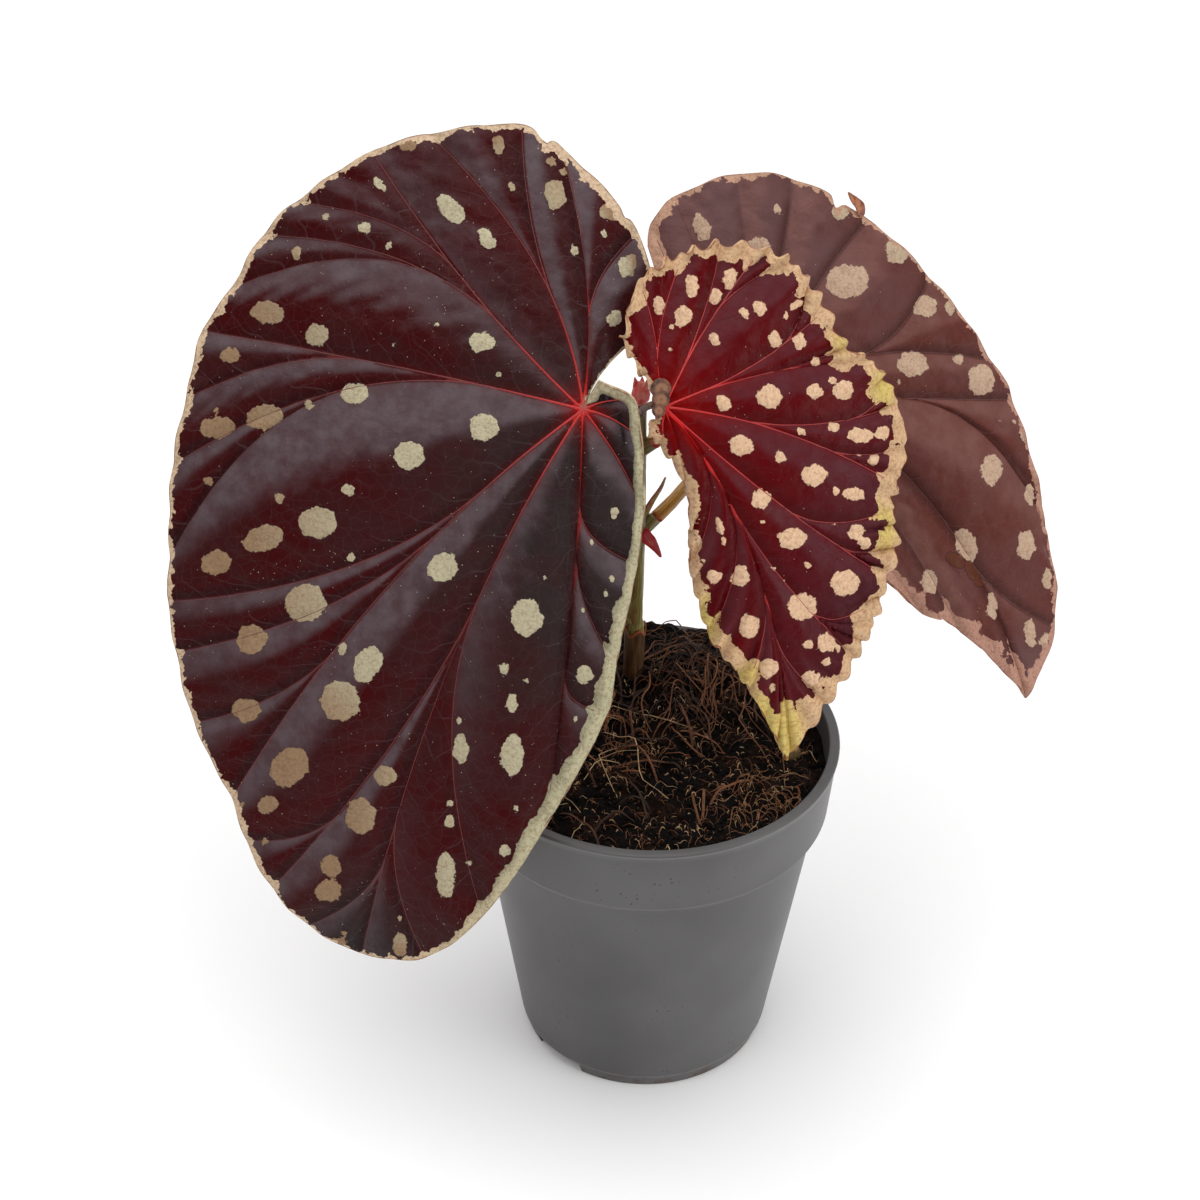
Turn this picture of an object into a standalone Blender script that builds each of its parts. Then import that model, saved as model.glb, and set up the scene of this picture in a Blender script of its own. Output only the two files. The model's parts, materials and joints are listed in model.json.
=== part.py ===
"""Potted begonia: three spotted leaves on one leaning cane, in a nursery pot.

Metres, +Z up. The origin is the middle of the pot's flat underside. +X is to the
viewer's right and +Y is away from the viewer. Each leaf is built in its own flat
plane first, vein by vein, and is then pleated, bowed and thickened.
"""
import math
from dataclasses import dataclass

import bmesh
import bpy
import numpy as np
from mathutils import Matrix, Vector, noise

MM = 0.001
GAP = 0.3 * MM

# Pot, a 9 cm nursery pot
RIM_RADIUS = 45.0 * MM
RIM_HEIGHT = 86.5 * MM
RIM_WIDTH = 2.6 * MM
BAND_HEIGHT = 69.0 * MM
BAND_RADIUS = 43.0 * MM
BODY_TOP_HEIGHT = 66.0 * MM
BODY_TOP_RADIUS = 40.3 * MM
FOOT_RADIUS = 31.0 * MM
FOOT_HEIGHT = 3.8 * MM
BASE_RADIUS = 29.8 * MM
WALL = 1.2 * MM
FLOOR = 1.6 * MM
POT_SEGMENTS = 48
CHANNEL_WIDTH = 14.5 * MM
CHANNEL_HEIGHT = 3.4 * MM
CHANNEL_ROOF = 1.4 * MM
CHANNEL_INNER_END = 7.0 * MM
CHANNEL_BEARINGS = (225.0, 345.0, 105.0)
DRAIN_RADIUS = 2.2 * MM
DRAIN_DISTANCE = 17.0 * MM

# Soil: heaped at the back, with one thick clump of roots and a hollow by the wall
SOIL_FRONT = 80.0 * MM
SOIL_HEAP = 8.5 * MM
SOIL_HEAP_START = -2.0 * MM
SOIL_HEAP_LENGTH = 38.0 * MM
SOIL_LUMP = 1.6 * MM
SOIL_LUMP_PER_M = 160.0
SOIL_CRUMB_PER_M = 420.0
CLUMP_PLACE = (10.0 * MM, 22.0 * MM)
CLUMP_SIZE = 13.0 * MM
CLUMP_HEIGHT = 3.0 * MM
HOLLOW_PLACE = (37.0 * MM, 6.0 * MM)
HOLLOW_SIZE = 16.0 * MM
HOLLOW_DEPTH = 3.5 * MM
SOIL_RINGS = 11
SOIL_SEGMENTS = 40
SOIL_LEVELS = (30.0 * MM, 65.0 * MM)
FIBRE_SEED = 11
FIBRE_COUNT = 46
FIBRE_LENGTH = (7.0 * MM, 17.0 * MM)
FIBRE_RADIUS = 0.45 * MM
FIBRE_SINK = 0.7 * MM
FIBRE_ARCH = (0.12, 0.3)
FIBRE_BEND = 1.6
FIBRE_STEPS = 5
FIBRE_CLEARANCE = 1.5 * MM
SEED_RADIUS = 2.4 * MM
SEED_RISE = 0.9 * MM
SEED_SQUASH = 0.9
SEED_PLACE = (34.0 * MM, 2.5 * MM)

# Cane: foot, soil line, lower ring, leaf node, top
CANE_PATH = (
    (-4.2 * MM, 30.0 * MM, 58.0 * MM),
    (-3.9 * MM, 25.0 * MM, 80.0 * MM),
    (-3.6 * MM, 20.3 * MM, 103.0 * MM),
    (-3.3 * MM, 14.2 * MM, 133.0 * MM),
    (-3.6 * MM, 6.3 * MM, 172.0 * MM),
)
SHEATH_RADIUS = 2.4 * MM
SHEATH_TOP = 102.0 * MM
CANE_RADIUS = 1.75 * MM
CANE_TOP_RADIUS = 1.45 * MM
CANE_SIDES = 10
CANE_RINGS = 12
CANE_HOLE_CLEARANCE = 0.5 * MM
NODE_SWELLING = 0.5 * MM
NODE_LENGTH = 1.8 * MM
NODE_HEIGHTS = (103.0 * MM, 133.0 * MM, 160.0 * MM)
PETIOLE_RADIUS = 1.5 * MM
PETIOLE_STEPS = 14

# Stipules of the middle node, along their middle: place and half width, in mm
STIPULE_FLATNESS = 0.4
RED_STIPULE = (
    (-3.0, 13.6, 135.2, 1.1),
    (-2.2, 12.8, 134.4, 1.6),
    (-0.6, 12.4, 132.4, 1.5),
    (1.0, 12.3, 130.0, 0.8),
    (1.9, 12.2, 128.2, 0.3),
)
GREEN_STIPULE = (
    (-3.0, 14.3, 133.8, 0.8),
    (-2.2, 15.2, 136.8, 1.2),
    (-0.6, 15.8, 140.6, 1.1),
    (1.6, 16.0, 144.6, 0.7),
    (2.6, 16.0, 147.4, 0.35),
)

# Bud on the cane's tip, and the cut flower stalks in front of the middle leaf
BUD_PROFILE = ((0.0, 0.0), (1.2, 0.2), (2.1, 2.2), (1.9, 4.2), (1.0, 6.0), (0.0, 6.8))
BUD_SIDES = 12
BUD_TIPS = ((-1.3, 0.3, 7.4), (1.4, -0.6, 7.6), (0.3, 1.5, 6.6))
STUB_STALK = ((-3.5, 3.6, 171.6), (-3.2, 0.5, 174.5), (-2.6, -3.5, 177.5), (-0.9, -7.2, 180.2))
STUB_STALK_RADIUS = 0.8
STUBS = ((-0.9, 4.2, 2.3), (-1.1, 2.0, 2.0), (-1.8, -0.3, 1.5))
STUB_OUT = (1.6, 3.6)

BLADE_THICKNESS = 0.8 * MM
ROW_CROWDING = 1.35
RUFFLE_POWER = 8
RUFFLE_START = 12.0
VEIN_HANDLE = 0.45
LIFT_POWER = 2.5


@dataclass(frozen=True)
class Vein:
    """A vein or a lobe's cut edge, from the petiole to the margin, in the flat leaf.

    Bearings are degrees, counter-clockwise from the leaf's right. Lengths are in mm.
    A fork follows its parent as far as the share fork_at of the parent's length.
    """

    name: str
    start: float
    tip: float
    reach: float
    lift: float = 0.0
    parent: str = ""
    fork_at: float = 0.0
    pointed: bool = False


@dataclass(frozen=True)
class Leaf:
    """One blade: where its petiole joins, how it faces, and its veins in order."""

    name: str
    junction: tuple
    turn: float
    tilt: float
    crown: tuple
    bow: tuple
    pleat: float
    ruffle: float
    ruffle_length: float
    rows: int
    spacing: float
    edge_spacing: float
    colour: tuple
    veins: tuple


LEAF_FRONT = Leaf(
    name="leaf_front",
    junction=(-16.0, -6.0, 178.0),
    turn=-2.0,
    tilt=58.0,
    crown=(-10.0, 0.0),
    bow=(300.0, 330.0),
    pleat=0.10,
    ruffle=0.4,
    ruffle_length=11.0,
    rows=11,
    spacing=7.0,
    edge_spacing=5.0,
    colour=(0.045, 0.012, 0.014),
    veins=(
        Vein("cut_upper", 75, 51, 24.5, lift=-7),
        Vein("top_right_fork", 0, 75, 40, lift=-6, parent="top_right", fork_at=0.36),
        Vein("top_right", 82, 97, 57, lift=-2),
        Vein("top_fork", 0, 104, 62.5, parent="top", fork_at=0.37),
        Vein("top", 97, 121, 68),
        Vein("upper_left", 139, 131, 72),
        Vein("upper_left_fork", 0, 146, 77, parent="upper_left", fork_at=0.53),
        Vein("upper_left_low", 0, 153, 79.3, parent="upper_left", fork_at=0.31),
        Vein("upper_left_last", 0, 163, 81.3, parent="upper_left_low", fork_at=0.59),
        Vein("left", 167, 170, 85),
        Vein("left_fork", 0, 180, 87, parent="left", fork_at=0.55),
        Vein("left_low", 0, 189, 91, parent="left", fork_at=0.22),
        Vein("left_low_fork", 0, 201, 97, parent="left_low", fork_at=0.56),
        Vein("lower_left_thin", 0, 206, 101, parent="lower_left", fork_at=0.23),
        Vein("lower_left_high", 0, 212, 105, parent="lower_left", fork_at=0.32),
        Vein("lower_left_fork", 0, 220, 111, parent="lower_left", fork_at=0.63),
        Vein("lower_left", 217, 229, 117),
        Vein("bottom_left_fork", 0, 233, 122.5, parent="bottom_left", fork_at=0.80),
        Vein("bottom_left", 0, 238, 128.5, lift=-1, parent="midrib", fork_at=0.37),
        Vein("midrib_high", 0, 243, 132, lift=-2, parent="midrib", fork_at=0.81),
        Vein("midrib", 238, 249, 132.5, lift=-2),
        Vein("midrib_low", 0, 255, 128, lift=-1, parent="midrib", fork_at=0.71),
        Vein("bottom", 0, 260, 114.5, parent="midrib", fork_at=0.37),
        Vein("bottom_right", 271, 266, 92),
        Vein("right_low", 0, 276, 66, parent="bottom_right", fork_at=0.62),
        Vein("right_mid", 0, 279, 55, parent="bottom_right", fork_at=0.33),
        Vein("right_high", 0, 291, 35, parent="bottom_right", fork_at=0.20),
        Vein("right", 312, 303, 25, lift=1),
        Vein("lobe", 355, 335, 14, lift=2.5),
        Vein("lobe_edge", 392, 373, 11, lift=3.5),
        Vein("cut_lower", 430, 423, 7, lift=4),
    ),
)

LEAF_MIDDLE = Leaf(
    name="leaf_middle",
    junction=(1.3, -5.0, 178.3),
    turn=12.0,
    tilt=66.0,
    crown=(12.0, -20.0),
    bow=(120.0, 220.0),
    pleat=0.12,
    ruffle=1.1,
    ruffle_length=5.6,
    rows=9,
    spacing=6.0,
    edge_spacing=1.5,
    colour=(0.20, 0.012, 0.016),
    veins=(
        Vein("cut_lower", 228, 232, 7, lift=-1),
        Vein("lobe_low", 262, 265, 9, lift=-2),
        Vein("left_high", 288, 282, 19, lift=-3),
        Vein("left_mid", 0, 276, 36, lift=-3, parent="midrib", fork_at=0.16),
        Vein("left_low", 0, 278, 52, lift=-2, parent="midrib", fork_at=0.27),
        Vein("midrib_left", 0, 283, 65, lift=-1, parent="midrib", fork_at=0.58),
        Vein("midrib", 307, 286, 86, pointed=True),
        Vein("midrib_right", 0, 296.5, 77.5, parent="midrib", fork_at=0.66),
        Vein("lower_right", 0, 304, 73, parent="midrib", fork_at=0.34),
        Vein("lower_right_fork", 0, 314, 68, parent="lower_right", fork_at=0.78),
        Vein("right_long", 312, 318, 65.5),
        Vein("right_long_fork", 0, 324, 64, parent="right_long", fork_at=0.76),
        Vein("right_mid", 0, 331, 58, parent="right_long", fork_at=0.50),
        Vein("right", 350, 336, 57),
        Vein("right_fork", 0, 345, 57, parent="right", fork_at=0.68),
        Vein("right_high", 0, 354, 54, parent="right", fork_at=0.28),
        Vein("right_high_fork", 0, 359, 52, parent="right_high", fork_at=0.72),
        Vein("upper_right", 380, 366, 48),
        Vein("upper_right_fork", 0, 372, 43, parent="upper_right", fork_at=0.54),
        Vein("upper", 0, 384, 42, parent="upper_right", fork_at=0.19),
        Vein("upper_fork", 0, 393, 42, parent="upper", fork_at=0.62),
        Vein("top_low", 0, 402, 42, parent="top", fork_at=0.57),
        Vein("top", 421, 412, 40),
        Vein("top_left", 0, 424, 37, parent="top", fork_at=0.20),
        Vein("lobe_high", 462, 436, 33),
        Vein("lobe_fork", 0, 456, 27, lift=1, parent="lobe_high", fork_at=0.30),
        Vein("cut_upper", 485, 478, 17, lift=2),
    ),
)

LEAF_BACK = Leaf(
    name="leaf_back",
    junction=(26.1, 38.0, 157.3),
    turn=14.0,
    tilt=60.0,
    crown=(10.0, -10.0),
    bow=(260.0, 260.0),
    pleat=0.10,
    ruffle=0.5,
    ruffle_length=13.0,
    rows=9,
    spacing=8.0,
    edge_spacing=4.0,
    colour=(0.13, 0.05, 0.045),
    veins=(
        Vein("cut_lower", 280, 298, 54),
        Vein("lobe_low", 298, 301, 66),
        Vein("bottom", 318, 305, 76),
        Vein("midrib", 338, 307, 103, pointed=True),
        Vein("midrib_fork", 0, 317, 96, parent="midrib", fork_at=0.65),
        Vein("right_low", 0, 329, 80, parent="right", fork_at=0.50),
        Vein("right", 350, 352, 62.5),
        Vein("upper_right", 386, 361, 57.5),
        Vein("upper_right_fork", 0, 387, 49.3, parent="upper_right", fork_at=0.38),
        Vein("upper", 426, 411, 48),
        Vein("top", 438, 434, 50.5),
        Vein("top_left", 452, 450, 51),
        Vein("left_high", 472, 468, 49.5),
        Vein("left", 500, 477, 47),
        Vein("cut_upper", 535, 482, 43),
    ),
)


@dataclass(frozen=True)
class Petiole:
    """A leaf stalk: its height on the cane, its heading and seat there, and its handles in mm."""

    name: str
    leaf: Leaf
    height: float
    heading: tuple
    seat: float
    leaving: float
    arriving: float


PETIOLES = (
    Petiole("petiole_front", LEAF_FRONT, 104.5 * MM, (-0.8, 0.05, 0.6), 5.2, 30.0, 22.0),
    Petiole("petiole_middle", LEAF_MIDDLE, 159.0 * MM, (0.62, -0.3, 0.62), 4.8, 4.0, 6.0),
    Petiole("petiole_back", LEAF_BACK, 133.6 * MM, (0.68, 0.35, 0.5), 5.4, 14.0, 12.0),
)


def clear_scene():
    """Remove what the scene starts with."""
    for item in list(bpy.data.objects):
        bpy.data.objects.remove(item, do_unlink=True)


def material(name, colour, roughness, metallic=0.0):
    """A Principled material of one colour."""
    made = bpy.data.materials.new(name)
    made.use_nodes = True
    shader = made.node_tree.nodes["Principled BSDF"]
    shader.inputs["Base Color"].default_value = (*colour, 1.0)
    shader.inputs["Roughness"].default_value = roughness
    shader.inputs["Metallic"].default_value = metallic
    made.diffuse_color = (*colour, 1.0)
    return made


def add_object(name, vertices, faces, finish=None, smooth=True):
    """An object from plain lists of corners and faces."""
    mesh = bpy.data.meshes.new(name)
    mesh.from_pydata([tuple(v) for v in vertices], [], [tuple(f) for f in faces])
    mesh.update()
    if smooth:
        mesh.shade_smooth()
    made = bpy.data.objects.new(name, mesh)
    bpy.context.scene.collection.objects.link(made)
    if finish is not None:
        mesh.materials.append(finish)
    return made


def hide_cutter(cutter):
    """Mark an object as a tool that is not part of the model."""
    cutter.hide_render = True
    cutter.display_type = "WIRE"


def boolean(target, cutter, operation):
    """Join, cut or intersect target with cutter, and drop the cutter."""
    hide_cutter(cutter)
    step = target.modifiers.new(operation.lower(), "BOOLEAN")
    step.operation = operation
    step.solver = "EXACT"
    step.object = cutter
    apply_modifiers(target)
    bpy.data.objects.remove(cutter, do_unlink=True)


def join_collection(target, members):
    """One union of target with every object in members."""
    group = bpy.data.collections.new("repeats")
    for member in members:
        bpy.context.scene.collection.objects.unlink(member)
        group.objects.link(member)
    bpy.context.scene.collection.children.link(group)
    step = target.modifiers.new("union", "BOOLEAN")
    step.operation = "UNION"
    step.solver = "MANIFOLD"
    step.operand_type = "COLLECTION"
    step.collection = group
    apply_modifiers(target)
    for member in members:
        bpy.data.objects.remove(member, do_unlink=True)
    bpy.data.collections.remove(group)


def apply_modifiers(target):
    """Replace the object's mesh by what its modifiers make of it."""
    graph = bpy.context.evaluated_depsgraph_get()
    graph.update()
    made = bpy.data.meshes.new_from_object(target.evaluated_get(graph))
    target.modifiers.clear()
    target.data = made


def revolve(name, profile, segments, finish=None):
    """Turn a profile of (radius, height) about Z; zero radius gives one pole."""
    vertices = []
    rings = []
    for radius, height in profile:
        if radius == 0.0:
            rings.append([len(vertices)] * segments)
            vertices.append((0.0, 0.0, height))
            continue
        rings.append(list(range(len(vertices), len(vertices) + segments)))
        for k in range(segments):
            angle = math.tau * k / segments
            vertices.append((radius * math.cos(angle), radius * math.sin(angle), height))
    faces = []
    for lower, upper in zip(rings, rings[1:]):
        for k in range(segments):
            n = (k + 1) % segments
            face = [lower[k], lower[n], upper[n], upper[k]]
            unique = list(dict.fromkeys(face))
            if len(unique) > 2:
                faces.append(unique)
    return add_object(name, vertices, faces, finish)


def box(name, size, centre, bearing):
    """A box turned about Z by a bearing in degrees."""
    bm = bmesh.new()
    turn = Matrix.Rotation(math.radians(bearing), 4, "Z")
    scale = Matrix.Diagonal((*size, 1.0))
    bmesh.ops.create_cube(bm, size=1.0, matrix=turn @ Matrix.Translation(centre) @ scale)
    mesh = bpy.data.meshes.new(name)
    bm.to_mesh(mesh)
    bm.free()
    made = bpy.data.objects.new(name, mesh)
    bpy.context.scene.collection.objects.link(made)
    return made


def tube_mesh(points, radii, sides, flatness=1.0):
    """Corners and faces of a closed tube along points, with a radius at each."""
    points = [Vector(p) for p in points]
    last = len(points) - 1
    across = None
    vertices = []
    faces = []
    for k, point in enumerate(points):
        ahead = (points[min(k + 1, last)] - points[max(k - 1, 0)]).normalized()
        if across is None:
            across = ahead.orthogonal()
        across = (across - ahead * across.dot(ahead)).normalized()
        other = ahead.cross(across)
        for side in range(sides):
            angle = math.tau * side / sides
            offset = across * math.cos(angle) + other * math.sin(angle) * flatness
            vertices.append(point + offset * radii[k])
    for k in range(last):
        for side in range(sides):
            turn = (side + 1) % sides
            lower, upper = k * sides, (k + 1) * sides
            faces.append((lower + side, lower + turn, upper + turn, upper + side))
    faces.append(tuple(reversed(range(sides))))
    faces.append(tuple(range(last * sides, (last + 1) * sides)))
    return vertices, faces


def curve_points(controls, count):
    """Points along the Bezier curve of four controls."""
    controls = [Vector(c) for c in controls]
    weights = (1, 3, 3, 1)
    points = []
    for k in range(count):
        t = k / (count - 1)
        shares = [w * (1 - t) ** (3 - i) * t ** i for i, w in enumerate(weights)]
        points.append(sum((c * s for c, s in zip(controls, shares)), Vector()))
    return points


def smooth_step(value):
    """0 below 0, 1 above 1, and a smooth rise between."""
    value = min(1.0, max(0.0, value))
    return value * value * (3.0 - 2.0 * value)


def wall_radius(height):
    """Radius of the pot's inner wall at a height."""
    inner_foot = FOOT_RADIUS - WALL
    inner_top = BODY_TOP_RADIUS - WALL
    inner_band = BAND_RADIUS - WALL
    inner_rim = RIM_RADIUS - RIM_WIDTH
    heights = (FOOT_HEIGHT, BODY_TOP_HEIGHT, BAND_HEIGHT, RIM_HEIGHT)
    return float(np.interp(height, heights, (inner_foot, inner_top, inner_band, inner_rim)))


def make_pot():
    """The turned pot, with three raised drain channels under its floor."""
    finish = material("pot_plastic", (0.13, 0.13, 0.13), 0.45)
    profile = (
        (0.0, 0.0),
        (BASE_RADIUS, 0.0),
        (FOOT_RADIUS, FOOT_HEIGHT),
        (BODY_TOP_RADIUS, BODY_TOP_HEIGHT),
        (BAND_RADIUS, BAND_HEIGHT),
        (RIM_RADIUS - 0.6 * MM, RIM_HEIGHT - 2.2 * MM),
        (RIM_RADIUS, RIM_HEIGHT - 0.6 * MM),
        (RIM_RADIUS - 0.5 * MM, RIM_HEIGHT),
        (wall_radius(RIM_HEIGHT), RIM_HEIGHT),
        (wall_radius(BAND_HEIGHT), BAND_HEIGHT),
        (wall_radius(BODY_TOP_HEIGHT), BODY_TOP_HEIGHT),
        (wall_radius(FOOT_HEIGHT), FOOT_HEIGHT),
        (wall_radius(FOOT_HEIGHT) - 0.6 * MM, FLOOR),
        (0.0, FLOOR),
    )
    pot = revolve("pot", profile, POT_SEGMENTS, finish)
    roof = CHANNEL_HEIGHT + CHANNEL_ROOF
    reach = 1.5 * FOOT_RADIUS
    for bearing in CHANNEL_BEARINGS:
        width = CHANNEL_WIDTH + 2.0 * CHANNEL_ROOF
        start = CHANNEL_INNER_END - CHANNEL_ROOF
        length = reach - start
        rib = box("rib", (length, width, roof), (start + length / 2, 0.0, roof / 2), bearing)
        inside = wall_radius(FOOT_HEIGHT) - 0.3 * MM
        disc = ((0.0, 0.5 * MM), (inside, 0.5 * MM), (inside, 9 * MM), (0.0, 9 * MM))
        boolean(rib, revolve("rib_limit", disc, POT_SEGMENTS), "INTERSECT")
        boolean(pot, rib, "UNION")
    for bearing in CHANNEL_BEARINGS:
        length = reach - CHANNEL_INNER_END
        middle = (CHANNEL_INNER_END + length / 2, 0.0, 0.0)
        size = (length, CHANNEL_WIDTH, 2.0 * CHANNEL_HEIGHT)
        boolean(pot, box("channel", size, middle, bearing), "DIFFERENCE")
        hole = ((0.0, 1.0 * MM), (DRAIN_RADIUS, 1.0 * MM), (DRAIN_RADIUS, 9 * MM), (0.0, 9 * MM))
        drain = revolve("drain", hole, 12)
        angle = math.radians(bearing)
        shift = Vector((math.cos(angle), math.sin(angle), 0.0)) * DRAIN_DISTANCE
        drain.data.transform(Matrix.Translation(shift))
        boolean(pot, drain, "DIFFERENCE")
    pot.data.set_sharp_from_angle(angle=math.radians(35.0))
    return pot


def soil_height(x, y):
    """Height of the soil: heaped towards the back, low at the right, lumpy."""
    height = SOIL_FRONT + SOIL_HEAP * smooth_step((y - SOIL_HEAP_START) / SOIL_HEAP_LENGTH)
    clump = math.hypot(x - CLUMP_PLACE[0], y - CLUMP_PLACE[1]) / CLUMP_SIZE
    height += CLUMP_HEIGHT * (1.0 - smooth_step(clump))
    hollow = math.hypot(x - HOLLOW_PLACE[0], y - HOLLOW_PLACE[1]) / HOLLOW_SIZE
    height -= HOLLOW_DEPTH * (1.0 - smooth_step(hollow))
    lumps = noise.noise(Vector((x, y, 0.01)) * SOIL_LUMP_PER_M)
    crumbs = noise.noise(Vector((x, y, 0.05)) * SOIL_CRUMB_PER_M)
    return height + SOIL_LUMP * (lumps + 0.6 * crumbs)


def soil_edge():
    """Radius of the soil's top."""
    return soil_radius(BODY_TOP_HEIGHT)


def soil_radius(level):
    """Radius of the soil at a level, just clear of the flats of the pot's inner wall."""
    return (wall_radius(level) - GAP) * math.cos(math.pi / POT_SEGMENTS)


def soil_body():
    """The plug of soil, wall to wall, with a lumpy top."""
    floor = CHANNEL_HEIGHT + CHANNEL_ROOF + GAP
    vertices = [(0.0, 0.0, floor)]
    faces = []
    rings = [[0] * SOIL_SEGMENTS]

    def add_ring(radius, level=None):
        ring = []
        for k in range(SOIL_SEGMENTS):
            angle = math.tau * k / SOIL_SEGMENTS
            x, y = radius * math.cos(angle), radius * math.sin(angle)
            ring.append(len(vertices))
            vertices.append((x, y, soil_height(x, y) if level is None else level))
        rings.append(ring)

    for level in (floor, *SOIL_LEVELS):
        add_ring(soil_radius(level), level)
    for ring in range(SOIL_RINGS, 0, -1):
        add_ring(soil_edge() * ring / SOIL_RINGS)
    rings.append([len(vertices)] * SOIL_SEGMENTS)
    vertices.append((0.0, 0.0, soil_height(0.0, 0.0)))
    for lower, upper in zip(rings, rings[1:]):
        for k in range(SOIL_SEGMENTS):
            n = (k + 1) % SOIL_SEGMENTS
            corners = [lower[k], lower[n], upper[n], upper[k]]
            unique = list(dict.fromkeys(corners))
            faces.append(unique[:3])
            if len(unique) == 4:
                faces.append([unique[0], unique[2], unique[3]])
    return vertices, faces


def soil_fibres():
    """Coir fibres that leave the soil, arch over and dip back into it."""
    random = np.random.default_rng(FIBRE_SEED)
    edge = soil_edge() * math.cos(math.pi / SOIL_SEGMENTS)
    fibres = []
    for _ in range(FIBRE_COUNT):
        distance = edge * math.sqrt(random.uniform(0.0, 0.85))
        place = random.uniform(0.0, math.tau)
        heading = random.uniform(0.0, math.tau)
        length = random.uniform(*FIBRE_LENGTH)
        bend = random.uniform(-FIBRE_BEND, FIBRE_BEND)
        arch = random.uniform(*FIBRE_ARCH) * length
        x, y = distance * math.cos(place), distance * math.sin(place)
        points, radii = [], []
        for step in range(FIBRE_STEPS + 1):
            share = step / FIBRE_STEPS
            rise = math.sin(math.pi * share)
            points.append((x, y, soil_height(x, y) + arch * rise - FIBRE_SINK))
            radii.append(FIBRE_RADIUS * (0.8 + 0.4 * rise))
            x += length / FIBRE_STEPS * math.cos(heading + bend * share)
            y += length / FIBRE_STEPS * math.sin(heading + bend * share)
        if max(math.hypot(p[0], p[1]) for p in points) < edge - FIBRE_CLEARANCE:
            fibres.append(add_object("fibre", *tube_mesh(points, radii, 4)))
    return fibres


def cane_point(height):
    """Centre of the cane at a height."""
    rows = np.array(CANE_PATH)
    return Vector((
        float(np.interp(height, rows[:, 2], rows[:, 0])),
        float(np.interp(height, rows[:, 2], rows[:, 1])),
        height,
    ))


def cane_radius(height):
    """The cane's radius: sheathed below the lower ring, swollen at its nodes."""
    top = CANE_PATH[-1][2]
    taper = (height - SHEATH_TOP) / (top - SHEATH_TOP)
    radius = CANE_RADIUS + (CANE_TOP_RADIUS - CANE_RADIUS) * taper
    if height < SHEATH_TOP:
        radius = SHEATH_RADIUS
    for node in NODE_HEIGHTS:
        radius += NODE_SWELLING * math.exp(-(((height - node) / NODE_LENGTH) ** 2))
    return radius


def cane_heights():
    """Heights of the cane's rings of corners, closer at its nodes."""
    foot, top = CANE_PATH[0][2], CANE_PATH[-1][2]
    heights = set(np.linspace(foot, top, CANE_RINGS).tolist())
    for node in NODE_HEIGHTS:
        heights.update(node + offset * MM for offset in (-2.5, -1.0, 0.0, 1.0, 2.5))
    heights.update(SHEATH_TOP + offset * MM for offset in (-0.2, 0.2))
    return sorted(h for h in heights if foot <= h <= top)


def make_cane():
    """The leaning cane, its stalk seats and its two stipules, with its foot in the soil."""
    finish = material("cane_green", (0.16, 0.13, 0.035), 0.5)
    heights = cane_heights()
    points = [cane_point(h) for h in heights]
    radii = [cane_radius(h) for h in heights]
    cane = add_object("cane", *tube_mesh(points, radii, CANE_SIDES), finish)
    for stalk in PETIOLES:
        add_seat(cane, stalk)
    for rows in (RED_STIPULE, GREEN_STIPULE):
        points = [Vector(row[:3]) * MM for row in rows]
        radii = [row[3] * MM for row in rows]
        stipule = add_object("stipule", *tube_mesh(points, radii, 8, STIPULE_FLATNESS))
        boolean(cane, stipule, "UNION")


def make_bud():
    """The pointed bud, just clear of the cane's tip."""
    finish = material("bud_pink", (0.55, 0.10, 0.09), 0.5)
    profile = [(radius * MM, height * MM) for radius, height in BUD_PROFILE]
    bud = revolve("bud", profile, BUD_SIDES, finish)
    for tip in BUD_TIPS:
        root = Vector((tip[0] * 0.5, tip[1] * 0.5, 3.0)) * MM
        scale = tube_mesh((root, (root + Vector(tip) * MM) / 2.0, Vector(tip) * MM),
                          (1.0 * MM, 0.9 * MM, 0.25 * MM), 6)
        boolean(bud, add_object("scale", *scale), "UNION")
    heading = (cane_point(CANE_PATH[-1][2]) - cane_point(CANE_PATH[-2][2])).normalized()
    turn = heading.to_track_quat("Z", "Y").to_matrix().to_4x4()
    base = cane_point(CANE_PATH[-1][2]) + heading * GAP
    bud.data.transform(Matrix.Translation(base) @ turn)
    return bud


def make_flower_stubs():
    """The round cut ends of old flower stalks, in front of the middle leaf's junction."""
    finish = material("stub_brown", (0.16, 0.07, 0.035), 0.7)
    blade = Blade(LEAF_MIDDLE)
    stalk = curve_points([Vector(p) * MM for p in STUB_STALK], 8)
    radii = [STUB_STALK_RADIUS * MM] * len(stalk)
    cluster = add_object("flower_stubs", *tube_mesh(stalk, radii, 8), finish)
    for right, up, radius in STUBS:
        low, high = (blade.place((right, up), out) for out in STUB_OUT)
        edge = radius * MM
        knob = tube_mesh((low, (low + high) / 2.0, high), (0.8 * edge, edge, 0.75 * edge), 12)
        boolean(cluster, add_object("knob", *knob), "UNION")
    return cluster


def make_soil():
    """The soil with its fibres fused in, a hole for the cane and a dent for the seed."""
    finish = material("soil_dark", (0.03, 0.017, 0.01), 0.95)
    soil = add_object("soil", *soil_body(), finish)
    join_collection(soil, soil_fibres())
    foot = CANE_PATH[0][2] - GAP
    heights = np.linspace(foot, SHEATH_TOP, 5).tolist()
    points = [cane_point(h) for h in heights]
    radii = [SHEATH_RADIUS + CANE_HOLE_CLEARANCE] * len(points)
    boolean(soil, add_object("cane_hole", *tube_mesh(points, radii, 12)), "DIFFERENCE")
    boolean(soil, seed_ball("seed_dent", SEED_RADIUS + GAP, None), "DIFFERENCE")
    return soil


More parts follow.
